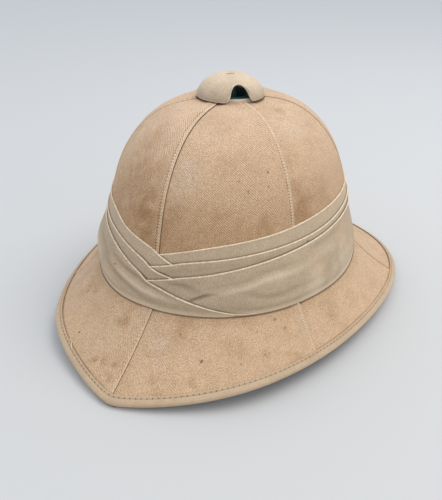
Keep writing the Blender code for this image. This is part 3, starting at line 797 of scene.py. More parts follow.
capFinish = {
    "tone": "cap",
    "roughness": 0.9,
    "sheen": 0.12,
    "pitch": 1.1 * mm,
    "slant": 0.8,
    "rib": 0.12,
    "patches": 16 * mm,
    "dark": 0.80,
    "fade": 0.5,
    "threads": (0.78, 1.22),
    "mottle": (1.05, 0.95),
    "relief": 0.1 * mm,
    "blotch": 0.25,
    # painted highlight towards the top and painted shade low down
    "upward": (160.5 * mm, 174 * mm, 0.78, 1.24),
    "rollMiddle": 0.5 * mm,
    "roll": (1.6 * mm, 0.4 * mm, 0.55),
    "shadowUnderRoll": (-0.4 * mm, -1.6 * mm, 0.8),
    # a short slit in the cloth on top, as spots along a line (mm)
    "slit": [(3.7 + 0.70 * step, 0.5 - 1.25 * step, 176.8) for step in (-1.6, -0.8, 0, 0.8, 1.6)],
    "slitSpot": (1.1, 0.9),  # each spot's reach (mm) and depth
}


def capCloth(finish):
    material, tree, shader, place, height, weave, age, colour = startCloth("capCloth", finish)
    colour = lay(tree, colour, linearTan["drill"], age["Blotch"], finish["blotch"])
    colour = showThreads(tree, colour, weave, age, finish)
    # painted highlight on top and painted shade low down, worn light along the rolled rim, and a painted
    # shadow under it
    colour = multiplied(tree, colour, spread(tree, height, *finish["upward"]))
    edge = splitMap(tree, "seam")["X"]
    fromRoll = calculate(tree, "ABSOLUTE", calculate(tree, "SUBTRACT", edge, finish["rollMiddle"]))
    colour = layLine(tree, colour, linearTan["capEdge"], fromRoll, finish["roll"])
    colour = layLine(tree, colour, linearTan["sootAndShade"], edge, finish["shadowUnderRoll"], smooth=False)
    reach, depth = finish["slitSpot"]
    slit = [(tuple(v * mm for v in spot), reach, depth) for spot in finish["slit"]]
    slit = gatherSpots(tree, place, readNoise(tree, place, 500.0), slit)
    colour = lay(tree, colour, toned("sootAndShade", 1.8), slit)
    finishMaterial(tree, shader, colour, weave["Height"], finish["relief"])
    return material


# the plain finishes: the scale of each pattern (higher is finer), and how light and dark it goes
corkFinish = {
    "crumbs": 260.0,
    "grain": 400.0,
    "patches": 22.0,
    "tones": (1.1, 0.7),
    "relief": 0.35 * mm,
}
metalFinish = {
    "patches": 120.0,
    "light": 1.8,
    "roughness": (0.3, 0.35),            # how much it varies, and from what
    "relief": 0.1 * mm,
}
threadFinish = {
    "patches": 500.0,
    "dark": 0.75,
    "relief": 0.05 * mm,
}


def corkBody(finish):
    material, tree, shader = startMaterial("corkBody", 0.95)
    place = readPlace(tree)
    crumbs = addNode(tree, "ShaderNodeTexVoronoi", Vector=place, Scale=finish["crumbs"])
    crumbs = crumbs.outputs["Distance"]
    grain = readNoise(tree, place, finish["grain"], 4.0)
    patch = readNoise(tree, place, finish["patches"], 3.0)
    light, dark = finish["tones"]
    colour = mixColour(tree, patch, toned("cork", light), toned("cork", dark))
    colour = multiplied(tree, colour, spread(tree, crumbs, 0.1, 0.8, light, dark))
    height = calculate(tree, "MULTIPLY_ADD", crumbs, -0.6, grain)
    finishMaterial(tree, shader, colour, height, finish["relief"])
    return material


def greenMetal(finish):
    material, tree, shader = startMaterial("greenMetal", 0.5, gloss=0.5)
    patch = readNoise(tree, readPlace(tree), finish["patches"], 4.0)
    colour = mixColour(tree, patch, linearTan["green"], toned("green", finish["light"]))
    feed(tree, shader.inputs["Roughness"], calculate(tree, "MULTIPLY_ADD", patch, *finish["roughness"]))
    finishMaterial(tree, shader, colour, patch, finish["relief"])
    return material


def sewingThread(name, tone, finish):
    material, tree, shader = startMaterial(name, 0.8)
    patch = readNoise(tree, readPlace(tree), finish["patches"])
    colour = mixColour(tree, patch, linearTan[tone], toned(tone, finish["dark"]))
    finishMaterial(tree, shader, colour, patch, finish["relief"])
    return material


drill = drillCloth(drillFinish, drillMarks)
pagri = pagriCloth(pagriFinish, pagriMarks)
tape = bindingTape(tapeFinish)
capFace = capCloth(capFinish)
cork, green = corkBody(corkFinish), greenMetal(metalFinish)
seamThread = sewingThread("seamThread", "thread", threadFinish)
tapeThread = sewingThread("tapeThread", "tape", threadFinish)
frayThread = sewingThread("frayThread", "drillStain", threadFinish)
print("materials made")

# the cork body under the cloth
corkPiece = {
    "columns": 144,
    "rows": (12, 6, 26),     # up the brim, the flare and the crown
    "mapRadius": 110 * mm,   # the grain's map is laid out at this radius
    "inset": 1.35 * mm,      # its face lies this far under the cloth's
    "wall": 4.0 * mm,
    "edgeWall": 1.6 * mm,    # shaved thin under the tape
    "bound": 8.5 * mm,       # and this far in from the brim's edge
}


def buildCork(plan):
    angles = np.linspace(0, 360, plan["columns"] + 1)
    around, up = np.meshgrid(angles, stepsUp(*plan["rows"]))
    points = skin(around, up) - skinNormal(around, up) * plan["inset"]
    flat = np.stack([np.radians(around) * plan["mapRadius"], lengths(points)], -1)
    mesh = layGrid("corkBody", points, {"cloth": flat}, closedRound=True)
    piece = addPiece("corkBody", mesh, cork, "cork", "cork_shell")
    wall = addWall(piece, plan["wall"])
    group = piece.vertex_groups.new(name="wall")
    for vert in mesh.vertices:
        reach = math.hypot(vert.co.x, vert.co.y)
        angle = math.degrees(math.atan2(vert.co.y, vert.co.x))
        outer = float(brimEdge(np.array(angle))[0])
        inner = float(crownRadius(np.array(angle))) + brimShape["start"]
        inward = outer - reach
        thick = 0.0 if inward < plan["bound"] else min(1.0, inward / (outer - inner))
        group.add([vert.index], thick, "REPLACE")
    wall.vertex_group = "wall"
    wall.thickness_vertex_group = plan["edgeWall"] / plan["wall"]


buildCork(corkPiece)
print("cork body made")

# the cloth gores, sewn side by side
gorePiece = {
    "wall": 0.38 * mm,
    "raise": 0.72 * mm,      # the folded edge stands this high over the neighbour
    "foldReach": (4.5 * mm, 9.5 * mm),           # it falls to the helmet's face between these
    "nose": 0.4 * mm,        # radius of the folded edge
    "turnedUnder": (1.4, 2.6),                   # columns of the cloth turned in under it (mm)
    "stitchIn": 1.45 * mm,   # from the folded edge
    "stitchPitch": 2.05 * mm,
    "groove": 0.30 * mm,     # the stitches pull the cloth down this far
    "grooveWide": 0.5 * mm,
    "pull": 0.35,            # its depth goes up and down by this share along each stitch
    "sink": 0.30 * mm,       # the neighbour's edge lies this much lower
    "sinkReach": (1.0 * mm, 4.5 * mm),
    "narrow": 20 * mm,       # where a gore is narrower than this, its seams narrow with it
    # the painted shade line beside each seam: how wide it is (mm), how much of that it keeps on the brim,
    # and how faint it is low down, from 0.25 (dark) to 1 (gone)
    "creases": (0.8, 0.6, 1.9, 1.2, 1.1, 0.2),
    "creaseOnBrim": 0.65,
    "faint": (0.42, 0.5, 0.0, 0.5, 0.5, 0.8),
    "faintUp": (118 * mm, 150 * mm),             # the heights over which it grows dark
    "raised": (1, 1, 1, 1, 0.4, 1),              # how much of its height each gore's fold has
    "darkNose": {2: 3.0 * mm},                   # the gore whose folded edge has painted shade itself, so wide
    "cleanEdge": (1,),                           # the gore with no painted shade line beside the tape
    # how far from the left and the right seam the columns of the grid run (mm)
    "leftOffsets": (-3.0, -1.2, 0.0, 0.8, 1.8, 3.2, 5.0),
    "rightOffsets": (12, 10.4, 9.0, 7.8, 6.6, 5.6, 4.7, 3.9, 3.2, 2.6, 2.2, 1.9, 1.65, 1.45, 1.2, 0.9, 0.7),
    "middle": 30,
    "rows": (26, 6, 66),     # up the brim, the flare and the crown
    "waver": (0.35 * mm, 38 * mm),               # how high and how wide the cloth's waves are
    "pucker": (0.10 * mm, 5 * mm, 6 * mm),       # the same of its puckers, and how near the seam they lie
    "quiet": (6 * mm, 4 * mm),                   # no waves this near to the left and the right edge
    "underBand": (38 * mm, 44 * mm, 70 * mm, 76 * mm),     # heights at which the puggaree covers it
    "pressed": 0.65,         # how much of the relief the puggaree presses flat
    "leaning": (117, 7.5, 26),                   # a seam that leans forward on the crown, degrees, reach
    "leanUp": (1.2, 2.3, 2.6, 2.92),             # it leans between these places up the crown
    "topTurn": ((0.7, 0.5), (0.9, 2.5)),         # in and down at the vent hole (mm), for two rows
    "topStep": 1.5 * mm,     # between these rows on the flat cloth
    "flatWide": 13 * mm,     # seam allowance of a gore laid flat, across and along
    "flatLong": 4 * mm,
}


def goreHeights(plan, raised, fromRight, fromLeft, run):
    # how far the cloth stands off the helmet's face, by distance from its folded and tucked edges
    lift = raised * (1 - ease(*plan["foldReach"], fromRight))
    pulled = 1 + plan["pull"] * np.sin(run / plan["stitchPitch"] * 2 * math.pi)
    groove = plan["groove"] * pulled * bump(fromRight - plan["stitchIn"], plan["grooveWide"])
    sink = plan["sink"] * (1 - ease(*plan["sinkReach"], fromLeft))
    return lift - groove - sink


def foldedEdge(plan, raised):
    # round the nose of the folded edge and back under it: distance in from the nose, and height
    turns = np.radians(np.arange(0, 181, 30))
    noseIn = plan["nose"] * (1 - np.sin(turns))
    noseUp = raised - plan["nose"] + plan["nose"] * np.cos(turns)
    under = np.array(plan["turnedUnder"]) * mm
    underUp = np.full(len(under), raised - 2 * plan["nose"])
    return np.concatenate([noseIn, under]), np.concatenate([noseUp, underUp])


def turnedIn(grid, step=0.0):
    # two more rows, for the cloth that is turned in at the top
    return np.concatenate([grid, grid[-1:] + step, grid[-1:] + 2 * step])


def tuckMap(plan, number, face, width, angles, ups):
    # where painted shade darkens the cloth: distance from the seam against the shade line's width, and
    # distance from the brim's edge
    narrower = plan["creaseOnBrim"] + (1 - plan["creaseOnBrim"]) * ease(0.9, 1.2, ups)
    beside = face / (plan["creases"][number - 1] * mm * narrower)
    if number in plan["darkNose"]:
        beside = np.minimum(beside, (width - face) / (plan["darkNose"][number] * narrower))
    upHigh = ease(*plan["faintUp"], skin(angles, ups)[..., 2])
    beside = np.maximum(beside, plan["faint"][number - 1] * (1 - upHigh))
    inset = np.where((ups <= 1) & (number not in plan["cleanEdge"]), ups * brimLength(angles), 1.0)
    return np.stack([turnedIn(beside), turnedIn(inset)], -1)


def goreColumns(plan, width, squeeze):
    # distance of each column from the left seam, closer together beside both seams
    fromLeft = np.array(plan["leftOffsets"])[None] * mm * squeeze
    fromRight = np.array(plan["rightOffsets"])[None] * mm * squeeze
    shares = np.linspace(0, 1, plan["middle"] + 1)[None, 1:-1]
    inner = fromLeft[:, -1:] + (width - fromRight[:, :1] - fromLeft[:, -1:]) * shares
    return np.concatenate([fromLeft, inner, width - fromRight], 1)


def buildGore(plan, number, left, right):
    alongs = stepsUp(*plan["rows"])
    spine = skin((left + right) / 2, alongs)
    run = lengths(spine)
    radius = np.hypot(spine[:, 0], spine[:, 1])
    width = np.radians(right - left) * radius
    squeeze = np.minimum(1.0, width / plan["narrow"])[:, None]
    width, radius = width[:, None], radius[:, None]
    face = goreColumns(plan, width, squeeze)             # distance from the left seam
    raised = plan["raise"] * plan["raised"][number - 1]
    heights = goreHeights(plan, raised, (width - face) / squeeze, face / squeeze, run[:, None])
    edgeIn, edgeUp = foldedEdge(plan, raised)
    face = np.concatenate([face, width - edgeIn[None] * squeeze], 1)
    heights = np.concatenate([heights, np.repeat(edgeUp[None], len(alongs), 0)], 1)
    angles = left + np.degrees(face / radius)
    ups = np.repeat(alongs[:, None], face.shape[1], 1)
    seamAt, lean, reach = plan["leaning"]
    lean = lean * plateau(ups, *plan["leanUp"])
    angles = angles - lean * bump(angles - seamAt, reach)
    points, normals = skin(angles, ups), skinNormal(angles, ups)
    # less raised under the puggaree, where the cloth is pressed flat
    pressed = plateau(points[..., 2], *plan["underBand"])
    heights = np.where(heights > 0, heights * (1 - plan["pressed"] * pressed), heights)
    high, wide = plan["waver"]
    waver = high * softNoise(points, wide, number * 7.0) * (1 - pressed)
    high, wide, near = plan["pucker"]
    waver += high * softNoise(points, wide, number * 3.0) * bump(width - face, near)
    quietLeft, quietRight = plan["quiet"]
    heights = heights + waver * ease(0, quietLeft, face) * ease(0, quietRight, width - face)
    points = points + normals * heights[..., None]
    # the top edge is turned down into the vent hole
    rim = points[-1]
    inward = unit(np.stack([-rim[:, 0] + crownShape["lean"], -rim[:, 1], 0 * rim[:, 2]], -1))
    turned = [rim + inward * aside * mm - np.array([0, 0, down * mm])
              for aside, down in plan["topTurn"]]
    points = np.concatenate([points, np.stack(turned)])
    runs = turnedIn(np.repeat(run[:, None], face.shape[1], 1), plan["topStep"])
    cloth = np.stack([turnedIn(face - width / 2), runs], -1)
    seam = np.stack([turnedIn(width - face), runs], -1)
    tuck = tuckMap(plan, number, face, width, angles, ups)
    name = f"coverPanel{number}"
    mesh = layGrid(name, points, {"cloth": cloth, "seam": seam, "tuck": tuck})
    piece = addPiece(name, mesh, drill, "drill_cloth", f"cover_panel_{number}")
    addWall(piece, plan["wall"])


for number, (left, right) in enumerate(zip(crownShape["seams"], crownShape["seams"][1:]), 1):
    buildGore(gorePiece, number, left, right)
print("gores made")

# the tape sewn over the brim's edge
tapePiece = {
    "columns": 800,
    "points": 46,
    "wall": 0.45 * mm,
    # distance in from the cloth's edge and height over the cloth's face (mm), from the underside's
    # inner edge, round the nose, to the turned-in edge on top
    "section": [
        (8.4, -3.5), (7.4, -3.8), (6.3, -3.6), (5.0, -3.85), (2.5, -4.05), (0.3, -4.0), (-0.8, -3.6),
        (-1.4, -2.7), (-1.6, -1.5), (-1.45, -0.3), (-0.9, 0.5), (0.0, 0.95), (1.2, 1.15), (2.2, 1.1),
        (2.9, 0.85), (3.35, 0.74), (3.8, 0.88), (4.5, 1.08), (5.1, 1.02), (5.4, 0.75), (5.2, 0.42),
        (4.5, 0.35), (3.7, 0.35),
    ],
    "edge": 5.4 * mm,        # the turned-in edge lies this far in on top
    "tucked": 1.8 * mm,      # and this much cloth is turned in under it
    "stitchIn": 2.05 * mm,   # from the turned-in edge
    "pitch": 3.8 * mm,
    "grooveWide": 1.4 * mm,
    "waver": (0.22 * mm, 22 * mm),               # how high and how wide the tape's waves are
    "waverFrom": (2.2 * mm, 5 * mm),             # and where they set in, from the turned-in edge
    "pucker": (0.14 * mm, 4.5 * mm),
    "overFloor": 0.1 * mm,
}


def sectionThrough(points, count):
    # smooth section through a few points, evenly spaced
    points = np.array(points, float)
    run = lengths(points)
    table = [(r, *p) for r, p in zip(run, points)]
    at = np.linspace(0, run[-1], count)
    return np.stack([curveThrough(table, 1)(at), curveThrough(table, 2)(at)], -1), at


def edgeFrames(angles):
    edge, up = skin(angles, 0.0), skinNormal(angles, 0.0)
    return edge, up, unit(edge - skin(angles, 0.05))


def buildTape(plan):
    angles = np.linspace(0, 360, plan["columns"] + 1)
    section, across = sectionThrough(plan["section"], plan["points"])
    inset, height = section[:, :1] * mm, section[:, 1:] * mm
    edge, _, out = edgeFrames(angles)
    around = np.repeat(angles[None], plan["points"], 0)
    alongs = np.clip(inset, 0, None) / brimLength(angles)[None]
    bases, normals = skin(around, alongs), skinNormal(around, alongs)
    bases = bases + out[None] * np.clip(-inset, 0, None)[..., None]
    outline = edge + out * brimShape["nose"]
    run = lengths(outline)
    whole = round(run[-1] / plan["pitch"])
    run = run * whole * plan["pitch"] / run[-1]          # a whole number of stitches fits round
    fromTop = (across[-1] - across)[:, None] * mm - plan["tucked"]     # from the turned-in edge
    pulled = np.cos(run / plan["pitch"] * 2 * math.pi)[None]
    pulled = pulled * bump(fromTop - plan["stitchIn"], plan["grooveWide"])
    points = bases + normals * height[..., None]
    high, wide = plan["waver"]
    waver = high * softNoise(points, wide, 3.0) * ease(*plan["waverFrom"], fromTop)
    high, wide = plan["pucker"]
    waver += high * (pulled + 0.5 * softNoise(points, wide))
    points = points + normals * waver[..., None]
    points[..., 2] = np.maximum(points[..., 2], plan["overFloor"])
    points[:, -1] = points[:, 0]
    runs = np.repeat(run[None], plan["points"], 0)
    widths = np.repeat(fromTop, len(angles), 1)
    flat = np.stack([runs, widths], -1)
    seam = np.stack([widths, runs], -1)
    mesh = layGrid("brimTape", points, {"cloth": flat, "seam": seam}, closedRound=True)
    piece = addPiece("brimTape", mesh, tape, "binding_tape", "brim_binding")
    addWall(piece, plan["wall"])
    return angles, run


tapeAngles, tapeRun = buildTape(tapePiece)
print("tape made")

# the puggaree: three folds of one cloth
bandPiece = {
    "step": 0.75,            # degrees between columns
    "cell": 0.5 * mm,        # of the relief, in height
    "lowest": 36 * mm,
    "highest": 106 * mm,
    "clear": 0.12 * mm,      # between a fold and what it lies on
    "nose": 0.5 * mm,        # radius of a folded edge
    "turnedIn": 2.4 * mm,    # and how far the cloth runs back inside it
    "wall": 0.42 * mm,
    "tuck": 3.5 * mm,        # how far a fold reaches down under the next
    "least": 1.5 * mm,       # of a fold that always shows
    "waver": (0.22 * mm, 24 * mm, 4 * mm),       # how high and wide its waves are, and how near its edge
    # rows up a fold, as shares of its height
    "foldRows": (0, 0.12, 0.26, 0.4, 0.52, 0.64, 0.74, 0.82, 0.88, 0.93, 0.97, 1.0),
    "wrapRows": 40,
    "crowded": 0.4,          # how much closer they lie at the wrap's hem and top
    # how a fold smooths over what is under it, in cells round the helmet and up it
    "reach": (1, 2),
    "soften": (1.6, 2.2),
    "cling": (0.8, 0.8),
    # how much thinner a fold is behind its folded edge, and how far below it that sets in and eases
    "thinner": (0.22 * mm, (0.4 * mm, 1.6 * mm), (2 * mm, 6 * mm)),
    "mapRadius": 108 * mm,   # the cloth's length is measured at this radius
    "creaseRadius": 105 * mm,
    "early": 45,             # a fold's own start, up to this angle, lies under its end
    "late": 300,             # its end, laid over the start, from this angle on
    "swell": 24 * mm,        # the wrap has swelled to its full stand this far below its top edge
    "straight": (70, 88, 272, 290),      # but stands out in a straight slope between these angles
    "hem": 0.45 * mm,        # radius of the turned hem
    "hemClear": 0.2 * mm,
    "hemIn": (4.5, 3.0, 1.6),                    # rows of the cloth turned in under it (mm)
    "hemInmost": 0.8 * mm,   # no nearer to the crown than this
    "hemFlare": -0.8 * mm,   # how far the hem stands out past the face over it; below 0, drawn in
    "flareOver": 9 * mm,     # it fades out up to here
    "flareWhole": 12 * mm,   # and is whole only where the wrap is this high
    "creasesFrom": 5 * mm,   # the creases fade out this near to the top edge
    "endLeast": 0.4 * mm,    # the wrap is never lower than this
    # angle round the helmet, top edge (mm above the table)
    "upper": [
        (-4, 77.6), (1, 80.2), (9, 84.2), (16, 87.3), (30, 91.0), (46, 93.6), (65, 96.4), (90, 98.4),
        (135, 99.5), (180, 100.0), (225, 99.5), (270, 98.4), (300, 97.0), (322, 96.0), (332, 94.6),
        (341, 89.6), (350, 85.9), (356, 83.2), (360, 80.4), (367, 74.2),
    ],
    "middle": [
        (-4, 70.2), (5, 75.1), (11, 77.8), (23, 80.8), (37, 83.0), (56, 85.1), (76, 87.3), (96, 89.8),
        (135, 91.0), (180, 91.5), (225, 91.0), (264, 89.8), (300, 87.5), (322, 85.6), (332, 83.4),
        (342, 80.0), (352, 75.0), (357, 72.0), (361, 69.0), (368, 64.8),
    ],
    # and how far the wrap's face stands out
    "wrap": [
        (-5, 59.8, 2.2), (6, 66.0, 3.9), (17, 70.0, 5.5), (30, 74.2, 6.4), (45, 78.0, 6.8), (55, 80.0, 6.8),
        (68, 82.0, 6.8), (82, 83.6, 6.9), (97, 84.4, 6.7), (135, 85.0, 6.3), (180, 85.0, 6.0),
        (225, 85.0, 6.0), (263, 84.4, 6.0), (300, 81.0, 6.1), (322, 77.8, 6.3), (330, 76.0, 6.7),
        (340, 71.6, 6.9), (349, 66.0, 6.8), (357, 61.0, 6.4), (365, 56.7, 6.3), (377, 50.5, 6.2),
        (388, 44.6, 6.2), (395, 42.4, 6.2),
    ],
    "sinks": (385, 394),     # the wrap's end slides in under its own start between these angles
    "sinkBy": 1.2 * mm,      # its own thickness and this much
    # a line of angles and heights, how proud its middle is (mm), half width (mm)
    "creases": [
        ([(12.6, 52.6), (14, 54), (16, 55.6), (18, 57.2), (21.5, 58.8)], -1.9, 1.0),
        ([(3, 64.5), (6.5, 63.2), (10, 62.4), (13.5, 60.4), (17, 57.6)], -1.0, 2.0),
        ([(16, 60), (20, 62.4), (27, 64), (33, 66), (39, 69.2), (46.5, 70.6), (54, 71.8), (66, 74)],
         -0.85, 1.9),
        ([(21, 58.6), (25.5, 60.2), (31.5, 62.4), (37.5, 65.6), (44.5, 66.6), (52, 67), (62, 68.5)],
         0.9, 2.6),
        ([(29, 59), (34, 57.2), (39.5, 53.8), (45, 54), (52.5, 55.2), (64, 55)], -0.8, 2.1),
        ([(30, 50.5), (42, 49.4), (58, 50), (74, 50.4)], 0.5, 2.8),
        ([(66, 58), (80, 60), (96, 59)], -0.4, 3.4),
        ([(58, 75.6), (66, 76.8), (76, 77.4), (90, 75.4)], -0.6, 2.4),
        ([(60, 70.6), (70, 71.4), (80, 69)], 0.4, 3.2),
        ([(100, 74), (125, 76.5), (150, 75)], -0.8, 2.8),
        ([(118, 66), (137, 69.5), (160, 70)], 0.7, 4.2),
        ([(150, 58), (175, 61), (200, 62)], -0.8, 3.6),
        ([(170, 75), (200, 76.5), (230, 74)], -0.8, 2.8),
        ([(215, 66), (240, 69), (262, 68)], 0.7, 4.2),
        ([(240, 57), (262, 60), (285, 59)], -0.8, 3.6),
        ([(262, 74), (284, 73), (305, 69)], -0.8, 2.8),
        ([(300, 62), (318, 60.5), (333, 57)], 0.9, 3.6),
        ([(318, 69), (328, 66), (338, 61)], -0.7, 2.6),
        ([(336, 67), (339.5, 65.2), (344.5, 62.8), (349.5, 61), (354.5, 60), (360, 58), (364, 55.6),
          (370.5, 53.7)], -1.3, 1.7),
        ([(338, 62), (345, 58.4), (352, 55.4), (357.5, 53.8), (363, 52.4), (369, 50.6)], 0.9, 1.9),
        ([(330, 60.5), (336, 58.6), (341, 56.4), (346, 54), (351.5, 51.2), (356.5, 48), (361, 46.8)],
         -1.1, 1.8),
        ([(328, 54), (338, 50.6), (348, 47.4)], 0.6, 2.4),
    ],
}
wallElevations = np.linspace(crownShape["flare"], 60, 500)
wallHeights = crownProfile(0.0, wallElevations)[1]
# the relief that the folds are laid on: how far out it stands at each column and height
bandColumns = round(360 / bandPiece["step"])
bandHeights = np.arange(bandPiece["lowest"], bandPiece["highest"], bandPiece["cell"])


def wallPoint(angle, height, stand):
    # a point that stands out level from the crown's wall, square to the crown's plan
    angle, height, stand = np.broadcast_arrays(angle, height, stand)
    radius, _, lean = crownProfile(angle, np.interp(height, wallHeights, wallElevations))
    turn, half = np.radians(angle), math.radians(0.5)
    before, after = crownRadius(angle - 0.5), crownRadius(angle + 0.5)
    dx = after * np.cos(turn + half) - before * np.cos(turn - half)
    dy = after * np.sin(turn + half) - before * np.sin(turn - half)
    out = unit(np.stack([dy, -dx, 0 * dx], -1))
    wall = np.stack([radius * np.cos(turn) + lean, radius * np.sin(turn), height], -1)
    return wall + out * stand[..., None]


def brimHeight(angles, stands):
    # height of the helmet's face where it stands this far out from the crown's wall
    steps = np.linspace(0.4, 2.0, 161)
    result = np.empty(np.shape(stands))
    for i, angle in enumerate(angles):
        line = skin(angle, steps)
        radii = np.hypot(line[:, 0], line[:, 1])
        result[..., i] = np.interp(stands[..., i], (radii - radii[-1])[::-1], line[::-1, 2])
    return result


def widened(field, across, up):
    # the highest that lies within a few cells, so that a fold clears what is under it
    for axis, reach in ((0, across), (1, up)):
        most = field
        for shift in range(1, reach + 1):
            for way in (-shift, shift):
                moved = np.roll(field, way, axis)
                if axis == 1 and way > 0:
                    moved[:, :way] = field[:, :way]
                elif axis == 1:
                    moved[:, way:] = field[:, way:]
                most = np.maximum(most, moved)
        field = most
    return field


def blurred(field, across, up):
    for axis, width in ((0, across), (1, up)):
        reach = int(3 * width) + 1
        weights = np.exp(-0.5 * (np.arange(-reach, reach + 1) / width) ** 2)
        weights /= weights.sum()
        mode = "wrap" if axis == 0 else "edge"
        padding = [(0, 0), (0, 0)]
        padding[axis] = (reach, reach)
        padded = np.pad(field, padding, mode)
        field = sum(weight * np.take(padded, np.arange(field.shape[axis]) + k, axis)
                    for k, weight in enumerate(weights))
    return field


def readField(field, columns, heights):
    # field at each column's index and each row's height
    at = np.clip((heights - bandHeights[0]) / bandPiece["cell"], 0, len(bandHeights) - 1.001)
    low = at.astype(int)
    rest = at - low
    return field[columns, low] * (1 - rest) + field[columns, low + 1] * rest


def layOn(field, columns, heights, stands):
    # raises the field to the face of a fold that is laid on it
    field = field.copy()
    for i, column in enumerate(columns):
        order = np.argsort(heights[:, i])
        ups, outs = heights[order, i], stands[order, i]
        inside = (bandHeights >= ups[0]) & (bandHeights <= ups[-1])
        laid = np.interp(bandHeights[inside], ups, outs)
        field[column, inside] = np.maximum(field[column, inside], laid)
    return field


def creaseRelief(angles, heights):
    # how proud the cloth is (mm) with soft folds along the creases' lines
    proud = np.zeros(heights.shape)
    shares = np.linspace(0, 1, 33)
    for line, depth, width in bandPiece["creases"]:
        turns, ups = np.array(line, float).T
        knots = np.linspace(0, 1, len(line))
        turns, ups = np.interp(shares, knots, turns), np.interp(shares, knots, ups) * mm
        nearest, nearestAt = np.full(heights.shape, 1.0), np.zeros(heights.shape)
        for turn, up, at in zip(turns, ups, shares):
            away = np.hypot(np.radians(angles - turn) * bandPiece["creaseRadius"], heights - up)
            nearestAt = np.where(away < nearest, at, nearestAt)
            nearest = np.minimum(nearest, away)
        fade = np.sin(np.pi * np.clip(nearestAt, 0.03, 0.97)) ** 0.6     # shallow at both ends
        proud += depth * bump(nearest, width * mm) * fade
    return proud


def heightsOfCover(table, angles):
    # the edge that lies over a fold, 0 where none does
    edge = curveThrough(table)
    covers = []
    for turned in (angles - 360, angles, angles + 360):
        reaches = (turned >= table[0][0] - 2) & (turned <= table[-1][0] + 2)
        covers.append(np.where(reaches, edge(turned) * mm, 0))
    return np.max(covers, 0)


